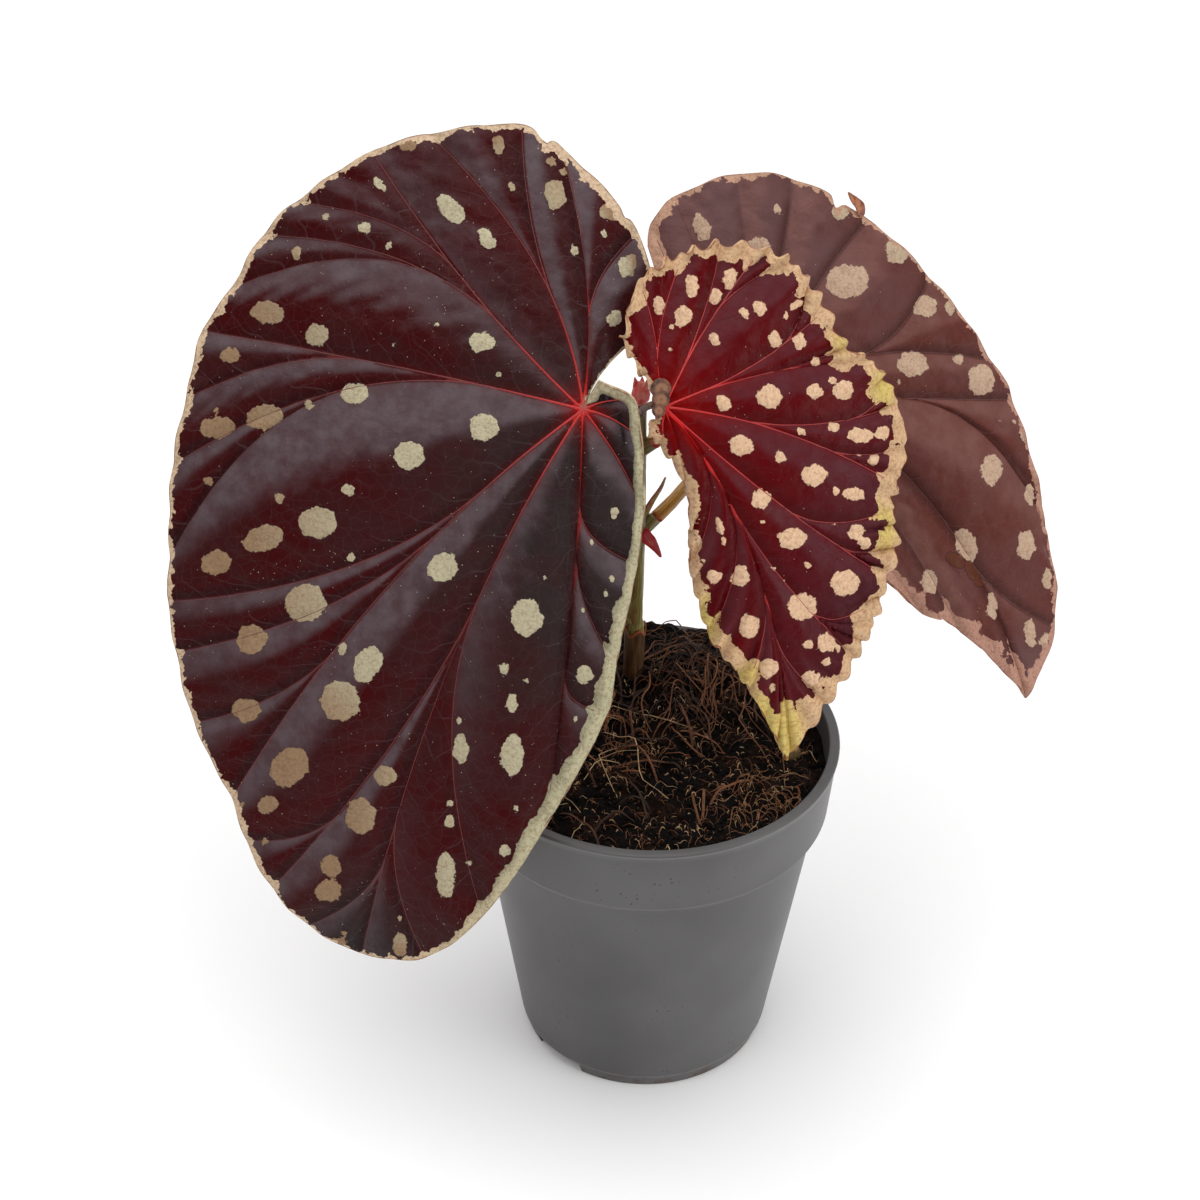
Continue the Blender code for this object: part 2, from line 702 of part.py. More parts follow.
def seed_ball(name, radius, finish):
    """A slightly flattened ball where the dry seed lies."""
    x, y = SEED_PLACE
    bm = bmesh.new()
    centre = Matrix.Translation((x, y, soil_height(x, y) + SEED_RISE))
    squash = Matrix.Diagonal((1.0, 1.0, SEED_SQUASH, 1.0))
    bmesh.ops.create_icosphere(bm, subdivisions=2, radius=radius, matrix=centre @ squash)
    mesh = bpy.data.meshes.new(name)
    bm.to_mesh(mesh)
    bm.free()
    mesh.shade_smooth()
    made = bpy.data.objects.new(name, mesh)
    bpy.context.scene.collection.objects.link(made)
    if finish is not None:
        mesh.materials.append(finish)
    return made


def unit(bearing):
    """The flat direction of a bearing in degrees."""
    angle = math.radians(bearing)
    return np.array((math.cos(angle), math.sin(angle)))


class Blade:
    """The surface of one leaf, worked out from its veins."""

    def __init__(self, leaf):
        self.leaf = leaf
        self.veins = leaf.veins
        self.index = {vein.name: k for k, vein in enumerate(leaf.veins)}
        self.rows = [1.0 - (1.0 - j / leaf.rows) ** ROW_CROWDING for j in range(leaf.rows + 1)]
        self.tips = [vein.reach * unit(vein.tip) for vein in leaf.veins]
        spans = [np.linalg.norm(b - a) for a, b in zip(self.tips, self.tips[1:])]
        self.along = np.concatenate(([0.0], np.cumsum(spans)))

    def fork_row(self, k):
        """The row of corners where vein k leaves its parent."""
        share = self.veins[k].fork_at
        return min(range(len(self.rows)), key=lambda j: abs(self.rows[j] - share))

    def path(self, k, t):
        """A point of vein k in the flat leaf and its lift, at the share t of its length."""
        vein = self.veins[k]
        if not vein.parent:
            start, heading, split, base = np.zeros(2), unit(vein.start), 0.0, 0.0
        else:
            parent = self.index[vein.parent]
            split = self.rows[self.fork_row(k)]
            if t <= split:
                return self.path(parent, t)
            start, base = self.path(parent, split)
            ahead, _ = self.path(parent, min(1.0, split + 0.02))
            heading = (ahead - start) / np.linalg.norm(ahead - start)
        share = (t - split) / (1.0 - split)
        end = self.tips[k]
        handle = start + heading * VEIN_HANDLE * np.linalg.norm(end - start)
        point = (1 - share) ** 2 * start + 2 * share * (1 - share) * handle + share ** 2 * end
        return point, base + (vein.lift - base) * share ** LIFT_POWER

    def owner(self, k, j):
        """The vein whose corner stands for vein k in row j."""
        while self.veins[k].parent and j <= self.fork_row(k):
            k = self.index[self.veins[k].parent]
        return k

    def slope(self, k):
        """Direction of the margin at the tip of vein k."""
        if self.veins[k].pointed:
            return np.zeros(2)
        before, after = max(k - 1, 0), min(k + 1, len(self.tips) - 1)
        return (self.tips[after] - self.tips[before]) / (self.along[after] - self.along[before])

    def margin(self, k, s):
        """A point of the margin between the tips of veins k and k + 1."""
        length = self.along[k + 1] - self.along[k]
        a, b = self.tips[k], self.tips[k + 1]
        da, db = self.slope(k) * length, self.slope(k + 1) * length
        return (
            (2 * s ** 3 - 3 * s ** 2 + 1) * a + (s ** 3 - 2 * s ** 2 + s) * da
            + (3 * s ** 2 - 2 * s ** 3) * b + (s ** 3 - s ** 2) * db
        )

    def place(self, flat, height):
        """A point of the flat leaf, raised by height, in the part's frame."""
        leaf = self.leaf
        turn, tilt = math.radians(leaf.turn), math.radians(leaf.tilt)
        right = Vector((math.cos(turn), math.sin(turn), 0.0))
        level = Vector((-math.sin(turn), math.cos(turn), 0.0))
        up = level * math.cos(tilt) + Vector((0.0, 0.0, math.sin(tilt)))
        out = right.cross(up)
        over = [(flat[i] - leaf.crown[i]) ** 2 - leaf.crown[i] ** 2 for i in (0, 1)]
        height -= sum(o / (2.0 * leaf.bow[i]) for i, o in enumerate(over))
        place = Vector(leaf.junction) + right * float(flat[0]) + up * float(flat[1])
        return (place + out * float(height)) * MM

    def point(self, k, s, j):
        """The point at share s between veins k and k + 1 in row j."""
        leaf, t = self.leaf, self.rows[j]
        (a, lift_a), (b, lift_b) = self.path(k, t), self.path(k + 1, t)
        shared = [self.rows[i] for i in range(j + 1) if self.owner(k, i) == self.owner(k + 1, i)]
        split = max(shared, default=0.0)
        opening = (t - split) / (1.0 - split)
        straight = (1 - s) * self.tips[k] + s * self.tips[k + 1]
        flat = (1 - s) * a + s * b + opening ** 2 * (self.margin(k, s) - straight)
        width = np.linalg.norm(b - a)
        height = (1 - s) * lift_a + s * lift_b
        height += leaf.pleat * width * math.sin(math.pi * s) * (1.0 - 0.5 * t ** 4)
        along = (1 - s) * self.along[k] + s * self.along[k + 1]
        wave = math.tau * along / leaf.ruffle_length
        distance = np.linalg.norm(flat)
        edge = leaf.ruffle * t ** RUFFLE_POWER * min(1.0, distance / RUFFLE_START)
        flat = flat * (1.0 + 0.35 * edge * math.cos(wave) / max(1.0, distance))
        return self.place(flat, height + edge * math.sin(wave))

    def surface(self):
        """Corners and triangles of the leaf's middle surface."""
        points, triangles, shared = [], [], {}

        def corner(k, j):
            key = (0, 0) if j == 0 else (self.owner(k, j), j)
            if key not in shared:
                shared[key] = len(points)
                side = min(k, len(self.veins) - 2)
                points.append(self.point(side, float(k - side), j))
            return shared[key]

        for k in range(len(self.veins) - 1):
            below = None
            for j, t in enumerate(self.rows):
                first, last = corner(k, j), corner(k + 1, j)
                row = [(0.0, first)]
                if first != last:
                    gap = np.linalg.norm(self.path(k, t)[0] - self.path(k + 1, t)[0])
                    spacing = self.leaf.spacing + (self.leaf.edge_spacing - self.leaf.spacing) * t ** 6
                    count = max(1, round(gap / spacing))
                    for i in range(1, count):
                        row.append((i / count, len(points)))
                        points.append(self.point(k, i / count, j))
                    row.append((1.0, last))
                if below is not None:
                    triangles.extend(self.stitch(below, row))
                below = row
        return points, triangles

    @staticmethod
    def stitch(below, above):
        """Triangles between two rows of (share, corner)."""
        made, i, j = [], 0, 0
        while i < len(below) - 1 or j < len(above) - 1:
            next_below = below[i + 1][0] if i < len(below) - 1 else 2.0
            next_above = above[j + 1][0] if j < len(above) - 1 else 2.0
            if next_above <= next_below:
                made.append((below[i][1], above[j][1], above[j + 1][1]))
                j += 1
            else:
                made.append((below[i][1], above[j][1], below[i + 1][1]))
                i += 1
        return made

    def solid(self):
        """Corners and triangles of the blade at its full thickness."""
        points, triangles = self.surface()
        normals = [Vector() for _ in points]
        for a, b, c in triangles:
            across = (points[b] - points[a]).cross(points[c] - points[a])
            for corner in (a, b, c):
                normals[corner] += across
        half = BLADE_THICKNESS / 2.0
        count = len(points)
        vertices = [p + n.normalized() * half for p, n in zip(points, normals)]
        vertices += [p - n.normalized() * half for p, n in zip(points, normals)]
        faces = list(triangles) + [(c + count, b + count, a + count) for a, b, c in triangles]
        edges = {(t[i], t[(i + 1) % 3]) for t in triangles for i in range(3)}
        for a, b in sorted(edges):
            if (b, a) not in edges:
                faces.append((b, a, a + count))
                faces.append((b, a + count, b + count))
        return vertices, faces

    def outward(self):
        """The direction the leaf's upper face looks in, at its junction."""
        return (self.place((0.0, 0.0), 1.0) - self.place((0.0, 0.0), 0.0)).normalized()


def make_leaf(leaf):
    """One leaf blade."""
    finish = material(leaf.name + "_skin", leaf.colour, 0.35)
    return add_object(leaf.name, *Blade(leaf).solid(), finish)


def petiole_controls(stalk):
    """The four controls of a leaf stalk's curve, from its seat to just behind the blade."""
    blade = Blade(stalk.leaf)
    out = blade.outward()
    end = blade.place((0.0, 0.0), 0.0) - out * (BLADE_THICKNESS / 2.0 + GAP + 0.15 * MM)
    heading = Vector(stalk.heading).normalized()
    start = cane_point(stalk.height) + heading * stalk.seat * MM
    return start, start + heading * stalk.leaving * MM, end - out * stalk.arriving * MM, end


def make_petiole(stalk):
    """A leaf's stalk, a little slimmer in its middle."""
    finish = material(stalk.name + "_skin", (0.25, 0.09, 0.03), 0.45)
    points = curve_points(petiole_controls(stalk), PETIOLE_STEPS)
    waist = [math.sin(math.pi * k / (PETIOLE_STEPS - 1)) for k in range(PETIOLE_STEPS)]
    radii = [PETIOLE_RADIUS * (1.1 - 0.2 * w) for w in waist]
    return add_object(stalk.name, *tube_mesh(points, radii, 8), finish)


def add_seat(cane, stalk):
    """The short base on the cane that a leaf stalk stands on."""
    start, ahead, _, _ = petiole_controls(stalk)
    heading = (ahead - start).normalized()
    points = [cane_point(stalk.height), start - heading * GAP]
    radii = [PETIOLE_RADIUS * 1.25, PETIOLE_RADIUS * 1.1]
    boolean(cane, add_object("seat", *tube_mesh(points, radii, CANE_SIDES)), "UNION")


def build():
    """Make every piece of the plant and its pot."""
    clear_scene()
    make_pot()
    make_soil()
    seed_ball("seed", SEED_RADIUS, material("seed_brown", (0.10, 0.06, 0.025), 0.6))
    make_cane()
    make_bud()
    make_flower_stubs()
    for stalk in PETIOLES:
        make_leaf(stalk.leaf)
        make_petiole(stalk)


build()
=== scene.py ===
"""Potted begonia: the finished look of three spotted leaves in a nursery pot.

Metres, +Z up, in the frame of the solid model. Each leaf is worked out vein by vein in
its own flat plane, in millimetres, and is then pleated, bowed, wrinkled and thickened.
Its pale spots lie where the photograph shows them, and are carried to the surface by
the photograph's own point of view.
"""

import json
import logging
import math
from dataclasses import dataclass, field
from enum import Enum

import bmesh
import bpy
import numpy as np
from mathutils import Matrix, Vector, kdtree, noise

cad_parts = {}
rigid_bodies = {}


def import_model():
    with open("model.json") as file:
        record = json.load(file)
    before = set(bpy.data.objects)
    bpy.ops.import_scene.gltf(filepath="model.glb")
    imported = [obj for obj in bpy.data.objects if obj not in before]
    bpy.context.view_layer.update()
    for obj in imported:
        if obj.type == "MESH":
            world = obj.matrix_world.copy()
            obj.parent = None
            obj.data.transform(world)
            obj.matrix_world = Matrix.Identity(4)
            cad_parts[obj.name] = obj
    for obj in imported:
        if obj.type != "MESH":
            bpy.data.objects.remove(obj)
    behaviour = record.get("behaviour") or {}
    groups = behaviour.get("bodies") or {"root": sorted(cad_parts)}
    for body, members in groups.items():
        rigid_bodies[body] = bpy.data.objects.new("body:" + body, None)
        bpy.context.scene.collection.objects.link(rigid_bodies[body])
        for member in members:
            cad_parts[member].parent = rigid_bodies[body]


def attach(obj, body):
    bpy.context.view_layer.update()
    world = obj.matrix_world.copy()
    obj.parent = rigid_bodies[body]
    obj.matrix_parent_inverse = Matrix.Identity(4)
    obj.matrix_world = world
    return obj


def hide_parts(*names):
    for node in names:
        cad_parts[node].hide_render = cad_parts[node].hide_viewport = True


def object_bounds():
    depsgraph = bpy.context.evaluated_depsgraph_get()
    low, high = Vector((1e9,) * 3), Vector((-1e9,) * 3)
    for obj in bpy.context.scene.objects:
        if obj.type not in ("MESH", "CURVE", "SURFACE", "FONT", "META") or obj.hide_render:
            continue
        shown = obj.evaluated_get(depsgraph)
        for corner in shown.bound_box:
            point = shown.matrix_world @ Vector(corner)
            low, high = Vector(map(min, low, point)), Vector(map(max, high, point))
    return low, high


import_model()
CAD_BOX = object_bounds()

LOG = logging.getLogger("begonia")
ROOT = "root"
MM = 0.001
GAP = 0.3 * MM
TINY = 1e-9

Piece = bpy.types.Object
Material = bpy.types.Material
Socket = bpy.types.NodeSocket
Array = np.ndarray
Colour = tuple[float, float, float]


def tone(red: int, green: int, blue: int) -> Colour:
    """Linear colour of a display colour.

    Args:
        red: Display value of 0 to 255.
        green: Display value of 0 to 255.
        blue: Display value of 0 to 255.

    Returns:
        The three linear values.
    """
    shares = (red / 255.0, green / 255.0, blue / 255.0)
    return tuple(s / 12.92 if s <= 0.04045 else ((s + 0.055) / 1.055) ** 2.4 for s in shares)


def smooth(value: Array | float) -> Array | float:
    """Smooth rise from 0 below 0 to 1 above 1."""
    held = np.clip(value, 0.0, 1.0)
    return held * held * (3.0 - 2.0 * held)


def unit(bearing: float) -> Array:
    """Flat direction of a bearing in degrees, counter-clockwise from the right."""
    angle = math.radians(bearing)
    return np.array((math.cos(angle), math.sin(angle)))


class Side(Enum):
    """Which face of a leaf a line of veins lies on."""

    UPPER = 1
    LOWER = -1


# Node trees


class NodeKit:
    """Adds nodes to one tree, and links or sets their sockets."""

    def __init__(self, tree: bpy.types.NodeTree) -> None:
        """Keep the tree that the nodes go into."""
        self.tree = tree

    def node(self, kind: str, inputs: dict | None = None, **settings: object) -> bpy.types.Node:
        """A new node with some settings, and then with its inputs fed."""
        made = self.tree.nodes.new(kind)
        for key, value in settings.items():
            setattr(made, key, value)
        for key, value in (inputs or {}).items():
            self.feed(made.inputs[key], value)
        return made

    def feed(self, socket: Socket, value: object) -> None:
        """Link a socket to another or to a node's first output, or set its own value."""
        if isinstance(value, bpy.types.Node):
            value = value.outputs[0]
        if isinstance(value, Socket):
            self.tree.links.new(value, socket)
        else:
            socket.default_value = (*value, 1.0) if socket.type == "RGBA" else value

    def math(self, operation: str, a: object, b: object = 0.0, clamp: bool = False) -> Socket:
        """A Math node's result."""
        return self.node("ShaderNodeMath", {0: a, 1: b}, operation=operation, use_clamp=clamp).outputs[0]

    def times(self, a: object, b: object) -> Socket:
        """The product of two values."""
        return self.math("MULTIPLY", a, b)

    def plus(self, a: object, b: object, clamp: bool = False) -> Socket:
        """The sum of two values."""
        return self.math("ADD", a, b, clamp)

    def less(self, a: object, b: object, clamp: bool = False) -> Socket:
        """The first value less the second."""
        return self.math("SUBTRACT", a, b, clamp)

    def apart(self, a: object, b: object) -> Socket:
        """How far apart two values are."""
        return self.math("ABSOLUTE", self.less(a, b))

    def mix(self, factor: object, a: object, b: object) -> Socket:
        """A colour between a and b."""
        return self.node("ShaderNodeMix", {0: factor, 6: a, 7: b}, data_type="RGBA").outputs[2]

    def grain(self, vector: object, scale: float, detail: float = 2.0, rough: float = 0.5) -> Socket:
        """Noise of 0 to 1 around 0.5, over a flat sheet."""
        return self.noise(vector, scale, detail, rough, "2D")

    def noise(
        self, vector: object, scale: float, detail: float = 2.0, rough: float = 0.5, space: str = "3D"
    ) -> Socket:
        """Noise of 0 to 1 around 0.5."""
        given = {"Vector": vector, "Scale": scale, "Detail": detail, "Roughness": rough}
        return self.node("ShaderNodeTexNoise", given, noise_dimensions=space).outputs[0]

    def cells(self, vector: object, scale: float, feature: str = "F1", space: str = "3D") -> Socket:
        """Distance in a Voronoi pattern."""
        given = {"Vector": vector, "Scale": scale}
        made = self.node("ShaderNodeTexVoronoi", given, feature=feature, voronoi_dimensions=space)
        return made.outputs["Distance"]

    def step(
        self, value: object, low: object, high: object, first: float = 0.0, last: float = 1.0
    ) -> Socket:
        """A smooth step of value from first at low to last at high."""
        given = dict(enumerate((value, low, high, first, last)))
        return self.node("ShaderNodeMapRange", given, interpolation_type="SMOOTHSTEP").outputs[0]

    def attribute(self, name: str, output: str = "Fac") -> Socket:
        """A value that is stored on the mesh."""
        made = self.node("ShaderNodeAttribute", attribute_name=name, attribute_type="GEOMETRY")
        return made.outputs[output]

    def stretch(self, vector: object, scale: tuple[float, float, float]) -> Socket:
        """A vector scaled by parts."""
        return self.node("ShaderNodeVectorMath", {0: vector, 1: scale}, operation="MULTIPLY").outputs[0]

    def upward(self, vector: object) -> Socket:
        """The Z part of a vector."""
        return self.node("ShaderNodeSeparateXYZ", {0: vector}).outputs[2]

    def place(self, kind: str = "Object") -> Socket:
        """Where a point of the surface lies."""
        return self.node("ShaderNodeTexCoord").outputs[kind]

    def bump(self, height: object, strength: float, distance: float) -> Socket:
        """A normal that follows a height in millimetres times distance."""
        given = {"Strength": strength, "Distance": distance, "Height": height}
        return self.node("ShaderNodeBump", given).outputs["Normal"]


class Paint(NodeKit):
    """The node kit of a new material with a Principled shader."""

    def __init__(self, name: str, roughness: float = 0.5, specular: float = 0.5) -> None:
        """Start a new material.

        Args:
            name: Its name.
            roughness: Its roughness, from 0 to 1.
            specular: Its share of mirrored light, from 0 to 1.
        """
        self.made = bpy.data.materials.new(name)
        self.made.use_nodes = True
        super().__init__(self.made.node_tree)
        self.shader = self.tree.nodes["Principled BSDF"]
        self.shader.inputs["Roughness"].default_value = roughness
        self.shader.inputs["Specular IOR Level"].default_value = specular

    def finish(self, colour: object, *relief: object) -> Material:
        """The material, with its colour and maybe a relief: its height, strength and distance."""
        self.feed(self.shader.inputs["Base Color"], colour)
        if relief:
            self.feed(self.shader.inputs["Normal"], self.bump(*relief))
        return self.made


def mottled(
    name: str, roughness: float, patches: tuple, rise: tuple, colours: tuple, relief: tuple = ()
) -> Material:
    """A material of two colours in patches.

    Args:
        name: Its name.
        roughness: The shader's roughness.
        patches: Scale and detail of the patches' noise, and maybe its roughness.
        rise: The noise at which the first colour ends, and at which the second starts.
        colours: The two colours.
        relief: The scale, detail, strength and distance of its relief, if it has one.

    Returns:
        The material.
    """
    kit = Paint(name, roughness)
    place = kit.place()
    colour = kit.mix(kit.step(kit.noise(place, *patches), *rise), *colours)
    if not relief:
        return kit.finish(colour)
    scale, detail, strength, distance = relief
    return kit.finish(colour, kit.noise(place, scale, detail), strength, distance)


@dataclass(frozen=True)
class Effect:
    """A shared group of shader nodes with named inputs and outputs."""

    tree: bpy.types.NodeTree

    def use(self, kit: NodeKit, **values: object) -> dict[str, Socket]:
        """Add the group to a material.

        Args:
            kit: The material's node kit.
            **values: A socket or value for each named input, with _ for a space.

        Returns:
            The group's outputs by name.
        """
        given = {name.replace("_", " "): value for name, value in values.items()}
        made = kit.node("ShaderNodeGroup", given, node_tree=self.tree)
        return {socket.name: socket for socket in made.outputs}


def new_group(
    name: str, inputs: dict[str, str], outputs: dict[str, str], kind: str = "ShaderNodeTree"
) -> tuple:
    """An empty group of nodes.

    Args:
        name: Its name.
        inputs: The kind of each input by name.
        outputs: The kind of each output by name.
        kind: The kind of tree.

    Returns:
        The tree, its kit, its inputs by name and its outputs by name.
    """
    tree = bpy.data.node_groups.new(name, kind)
    for way, sockets in (("INPUT", inputs), ("OUTPUT", outputs)):
        for label, form in sockets.items():
            tree.interface.new_socket(label, in_out=way, socket_type="NodeSocket" + form)
    kit = NodeKit(tree)
    entry, leave = kit.node("NodeGroupInput"), kit.node("NodeGroupOutput")
    return tree, kit, entry.outputs, leave.inputs


def ragged_edge() -> Effect:
    """Mask of what lies within a width, with a torn edge, and the distance from that edge."""
    inputs = {"Vector": "Vector", "Distance": "Float", "Width": "Float", "Tear": "Float"}
    tree, kit, given, result = new_group("Ragged edge", inputs, {"Mask": "Float", "Apart": "Float"})
    coarse, fine = (kit.less(kit.grain(given["Vector"], scale, 1.0), 0.5) for scale in (0.5, 1.6))
    torn = kit.plus(kit.times(coarse, 2.6), kit.times(fine, 1.1))
    distance = kit.plus(given["Distance"], kit.times(torn, given["Tear"]))
    apart = kit.less(distance, given["Width"])
    kit.feed(result["Mask"], kit.step(apart, -0.06, 0.06, 1.0, 0.0))
    kit.feed(result["Apart"], kit.math("ABSOLUTE", apart))
    return Effect(tree)


def leaf_network() -> Effect:
    """Side veins that leave the main veins, and the fine net between them."""
    outputs = {"Branches": "Float", "Net": "Float", "Swelling": "Float"}
    inputs = {"Flat": "Vector", "Vein distance": "Float"}
    tree, kit, given, result = new_group("Leaf network", inputs, outputs)
    flat, vein = given["Flat"], given["Vein distance"]
    length = kit.node("ShaderNodeVectorMath", {0: flat}, operation="LENGTH").outputs["Value"]
    wander = kit.times(kit.less(kit.grain(flat, 0.055), 0.5), 14.0)
    phase = kit.plus(kit.less(length, kit.times(vein, 1.15)), wander)
    off_line = kit.apart(kit.math("FRACT", kit.math("DIVIDE", phase, 8.5)), 0.5)
    branch = kit.step(off_line, 0.010, 0.028, 1.0, 0.0)
    kit.feed(result["Branches"], kit.times(branch, kit.step(vein, 0.4, 7.0, 1.0, 0.25)))
    kit.feed(result["Net"], kit.step(kit.cells(flat, 0.34, "DISTANCE_TO_EDGE", "2D"), 0.012, 0.05, 1.0, 0.0))
    kit.feed(result["Swelling"], kit.times(kit.grain(flat, 0.3, 4.0, 0.55), 2.2))
    return Effect(tree)


def wear() -> Effect:
    """Dirt specks, scratches and the grain of moulded plastic."""
    outputs = {"Specks": "Float", "Scratches": "Float", "Grain": "Float"}
    tree, kit, given, result = new_group("Wear", {"Vector": "Vector"}, outputs)
    vector = given["Vector"]
    dot = kit.step(kit.cells(vector, 520.0), 0.12, 0.2, 1.0, 0.0)
    kit.feed(result["Specks"], kit.times(dot, kit.step(kit.noise(vector, 55.0), 0.53, 0.66)))
    line = kit.apart(kit.noise(kit.stretch(vector, (260.0, 260.0, 26.0)), 1.0, 1.0), 0.5)
    seldom = kit.step(kit.noise(vector, 70.0, 1.0), 0.56, 0.7)
    kit.feed(result["Scratches"], kit.times(kit.step(line, 0.004, 0.012, 1.0, 0.0), seldom))
    kit.feed(result["Grain"], kit.noise(vector, 2600.0, 3.0, 0.6))
    return Effect(tree)


def strands() -> Effect:
    """Streaks along a stalk, from its grain coordinates."""
    outputs = {"Streaks": "Float", "Blotches": "Float"}
    tree, kit, given, result = new_group("Strands", {"Grain": "Vector"}, outputs)
    kit.feed(result["Streaks"], kit.noise(kit.stretch(given["Grain"], (1.6, 1.6, 0.14)), 1.0, 4.0, 0.6))
    kit.feed(result["Blotches"], kit.noise(given["Grain"], 0.3, 3.0, 0.55))
    return Effect(tree)


@dataclass
class Effects:
    """The shared groups of shader nodes."""

    ragged: Effect = field(default_factory=ragged_edge)
    network: Effect = field(default_factory=leaf_network)
    wear: Effect = field(default_factory=wear)
    strands: Effect = field(default_factory=strands)


# Meshes


def linked(name: str, mesh: bpy.types.Mesh) -> Piece:
    """A mesh as an object in the scene."""
    made = bpy.data.objects.new(name, mesh)
    bpy.context.scene.collection.objects.link(made)
    return made


def from_bmesh(name: str, bm: bmesh.types.BMesh) -> Piece:
    """An object of a bmesh, which is used up."""
    mesh = bpy.data.meshes.new(name)
    bm.to_mesh(mesh)
    bm.free()
    return linked(name, mesh)


def new_object(
    name: str, vertices: object, faces: object, finish: Material = None, edges: object = ()
) -> Piece:
    """An object with smooth faces.

    Args:
        name: Its name.
        vertices: Its corners, in metres.
        faces: Its faces, as corner numbers.
        finish: Its material, if any.
        edges: Loose edges, for lines.

    Returns:
        The object.
    """
    mesh = bpy.data.meshes.new(name)
    mesh.from_pydata([tuple(v) for v in vertices], list(edges), [tuple(f) for f in faces])
    mesh.update()
    mesh.shade_smooth()
    if finish is not None:
        mesh.materials.append(finish)
    return linked(name, mesh)


def store(mesh: bpy.types.Mesh, name: str, values: object, kind: str = "FLOAT") -> None:
    """Store one value or vector for each corner of a mesh."""
    made = mesh.attributes.new(name, kind, "POINT")
    key = "value" if kind == "FLOAT" else "vector"
    made.data.foreach_set(key, np.asarray(values, dtype=np.float32).ravel())


def apply_modifiers(target: Piece) -> None:
    """Replace an object's mesh by what its modifiers make of it."""
    graph = bpy.context.evaluated_depsgraph_get()
    graph.update()
    made = bpy.data.meshes.new_from_object(target.evaluated_get(graph))
    target.modifiers.clear()
    target.data = made


def hold_in_box(piece: Piece) -> None:
    """Move what stands a hair outside the solid model's box onto the box's side."""
    corners = piece.data.vertices
    places = np.empty(3 * len(corners), dtype=np.float32)
    corners.foreach_get("co", places)
    low, high = (np.array(corner) for corner in CAD_BOX)
    corners.foreach_set("co", np.clip(places.reshape(-1, 3), low, high).astype(np.float32).ravel())
    piece.data.update()


def boolean(target: Piece, cutter: Piece, operation: str) -> None:
    """Join or cut a target with a cutter, and drop the cutter."""
    cutter.hide_render = True
    step = target.modifiers.new("cut", "BOOLEAN")
    step.operation = operation
    step.solver = "EXACT"
    step.object = cutter
    apply_modifiers(target)
    bpy.data.objects.remove(cutter, do_unlink=True)


def box(size: tuple, centre: tuple, bearing: float) -> Piece:
    """A box turned about Z by a bearing in degrees."""
    bm = bmesh.new()
    place = Matrix.Rotation(math.radians(bearing), 4, "Z") @ Matrix.Translation(centre)
    bmesh.ops.create_cube(bm, size=1.0, matrix=place @ Matrix.Diagonal((*size, 1.0)))
    return from_bmesh("box", bm)


def ring_faces(rings: list) -> list:
    """Faces between rings of corners, where a pole is a ring of one corner over and over."""
    faces = []
    for lower, upper in zip(rings, rings[1:]):
        for k in range(len(lower)):
            n = (k + 1) % len(lower)
            faces.append(list(dict.fromkeys([lower[k], lower[n], upper[n], upper[k]])))
    return [face for face in faces if len(face) > 2]


def revolve(name: str, profile: list, segments: int, finish: Material = None) -> Piece:
    """Turn a profile of (radius, height) about Z; zero radius gives one pole."""
    vertices, rings = [], []
    for radius, height in profile:
        if radius == 0.0:
            rings.append([len(vertices)] * segments)
            vertices.append((0.0, 0.0, height))
            continue
        rings.append(list(range(len(vertices), len(vertices) + segments)))
        for k in range(segments):
            angle = math.tau * k / segments
            vertices.append((radius * math.cos(angle), radius * math.sin(angle), height))
    return new_object(name, vertices, ring_faces(rings), finish)


def rounded(profile: list, radius: float, steps: int = 4) -> list:
    """A profile whose inner corners are rounded.

    Args:
        profile: Corners of (radius, height).
        radius: Length that a corner takes of its shorter side, at most.
        steps: Points of each rounding.

    Returns:
        The rounded profile.
    """
    made = [profile[0]]
    for corners in zip(profile, profile[1:], profile[2:]):
        a, b, c = (Vector(corner) for corner in corners)
        reach = min(radius, 0.45 * (a - b).length, 0.45 * (c - b).length)
        first, last = b + (a - b).normalized() * reach, b + (c - b).normalized() * reach
        for k in range(steps + 1):
            t = k / steps
            made.append(tuple((1 - t) ** 2 * first + 2 * t * (1 - t) * b + t ** 2 * last))
    return made + [profile[-1]]


def curve_points(controls: list, count: int) -> list[Vector]:
    """Points along the Bezier curve of four controls."""
    points = []
    for t in np.linspace(0.0, 1.0, count):
        shares = [w * (1 - t) ** (3 - i) * t ** i for i, w in enumerate((1, 3, 3, 1))]
        points.append(sum((Vector(c) * s for c, s in zip(controls, shares)), Vector()))
    return points


def smooth_line(points: list, count: int) -> list[Vector]:
    """A finer line through the same points, without kinks."""
    rows = [np.array(p, dtype=float) for p in points]
    rows = [2 * rows[0] - rows[1], *rows, 2 * rows[-1] - rows[-2]]
    made = []
    for u in np.linspace(0.0, len(points) - 1 - TINY, count):
        k, t = int(u), u - int(u)
        a, b, c, d = rows[k:k + 4]
        bend = 2 * b + (c - a) * t + (2 * a - 5 * b + 4 * c - d) * t ** 2
        made.append(Vector(0.5 * (bend + (3 * b - a - 3 * c + d) * t ** 3)))
    return made


def spread(values: object, count: int) -> list[float]:
    """More values along an even row of them."""
    shares = np.linspace(0.0, len(values) - 1.0, count)
    return np.interp(shares, range(len(values)), values).tolist()


TUBE_ENDS = ((0.85, 0.45), (0.55, 0.8))


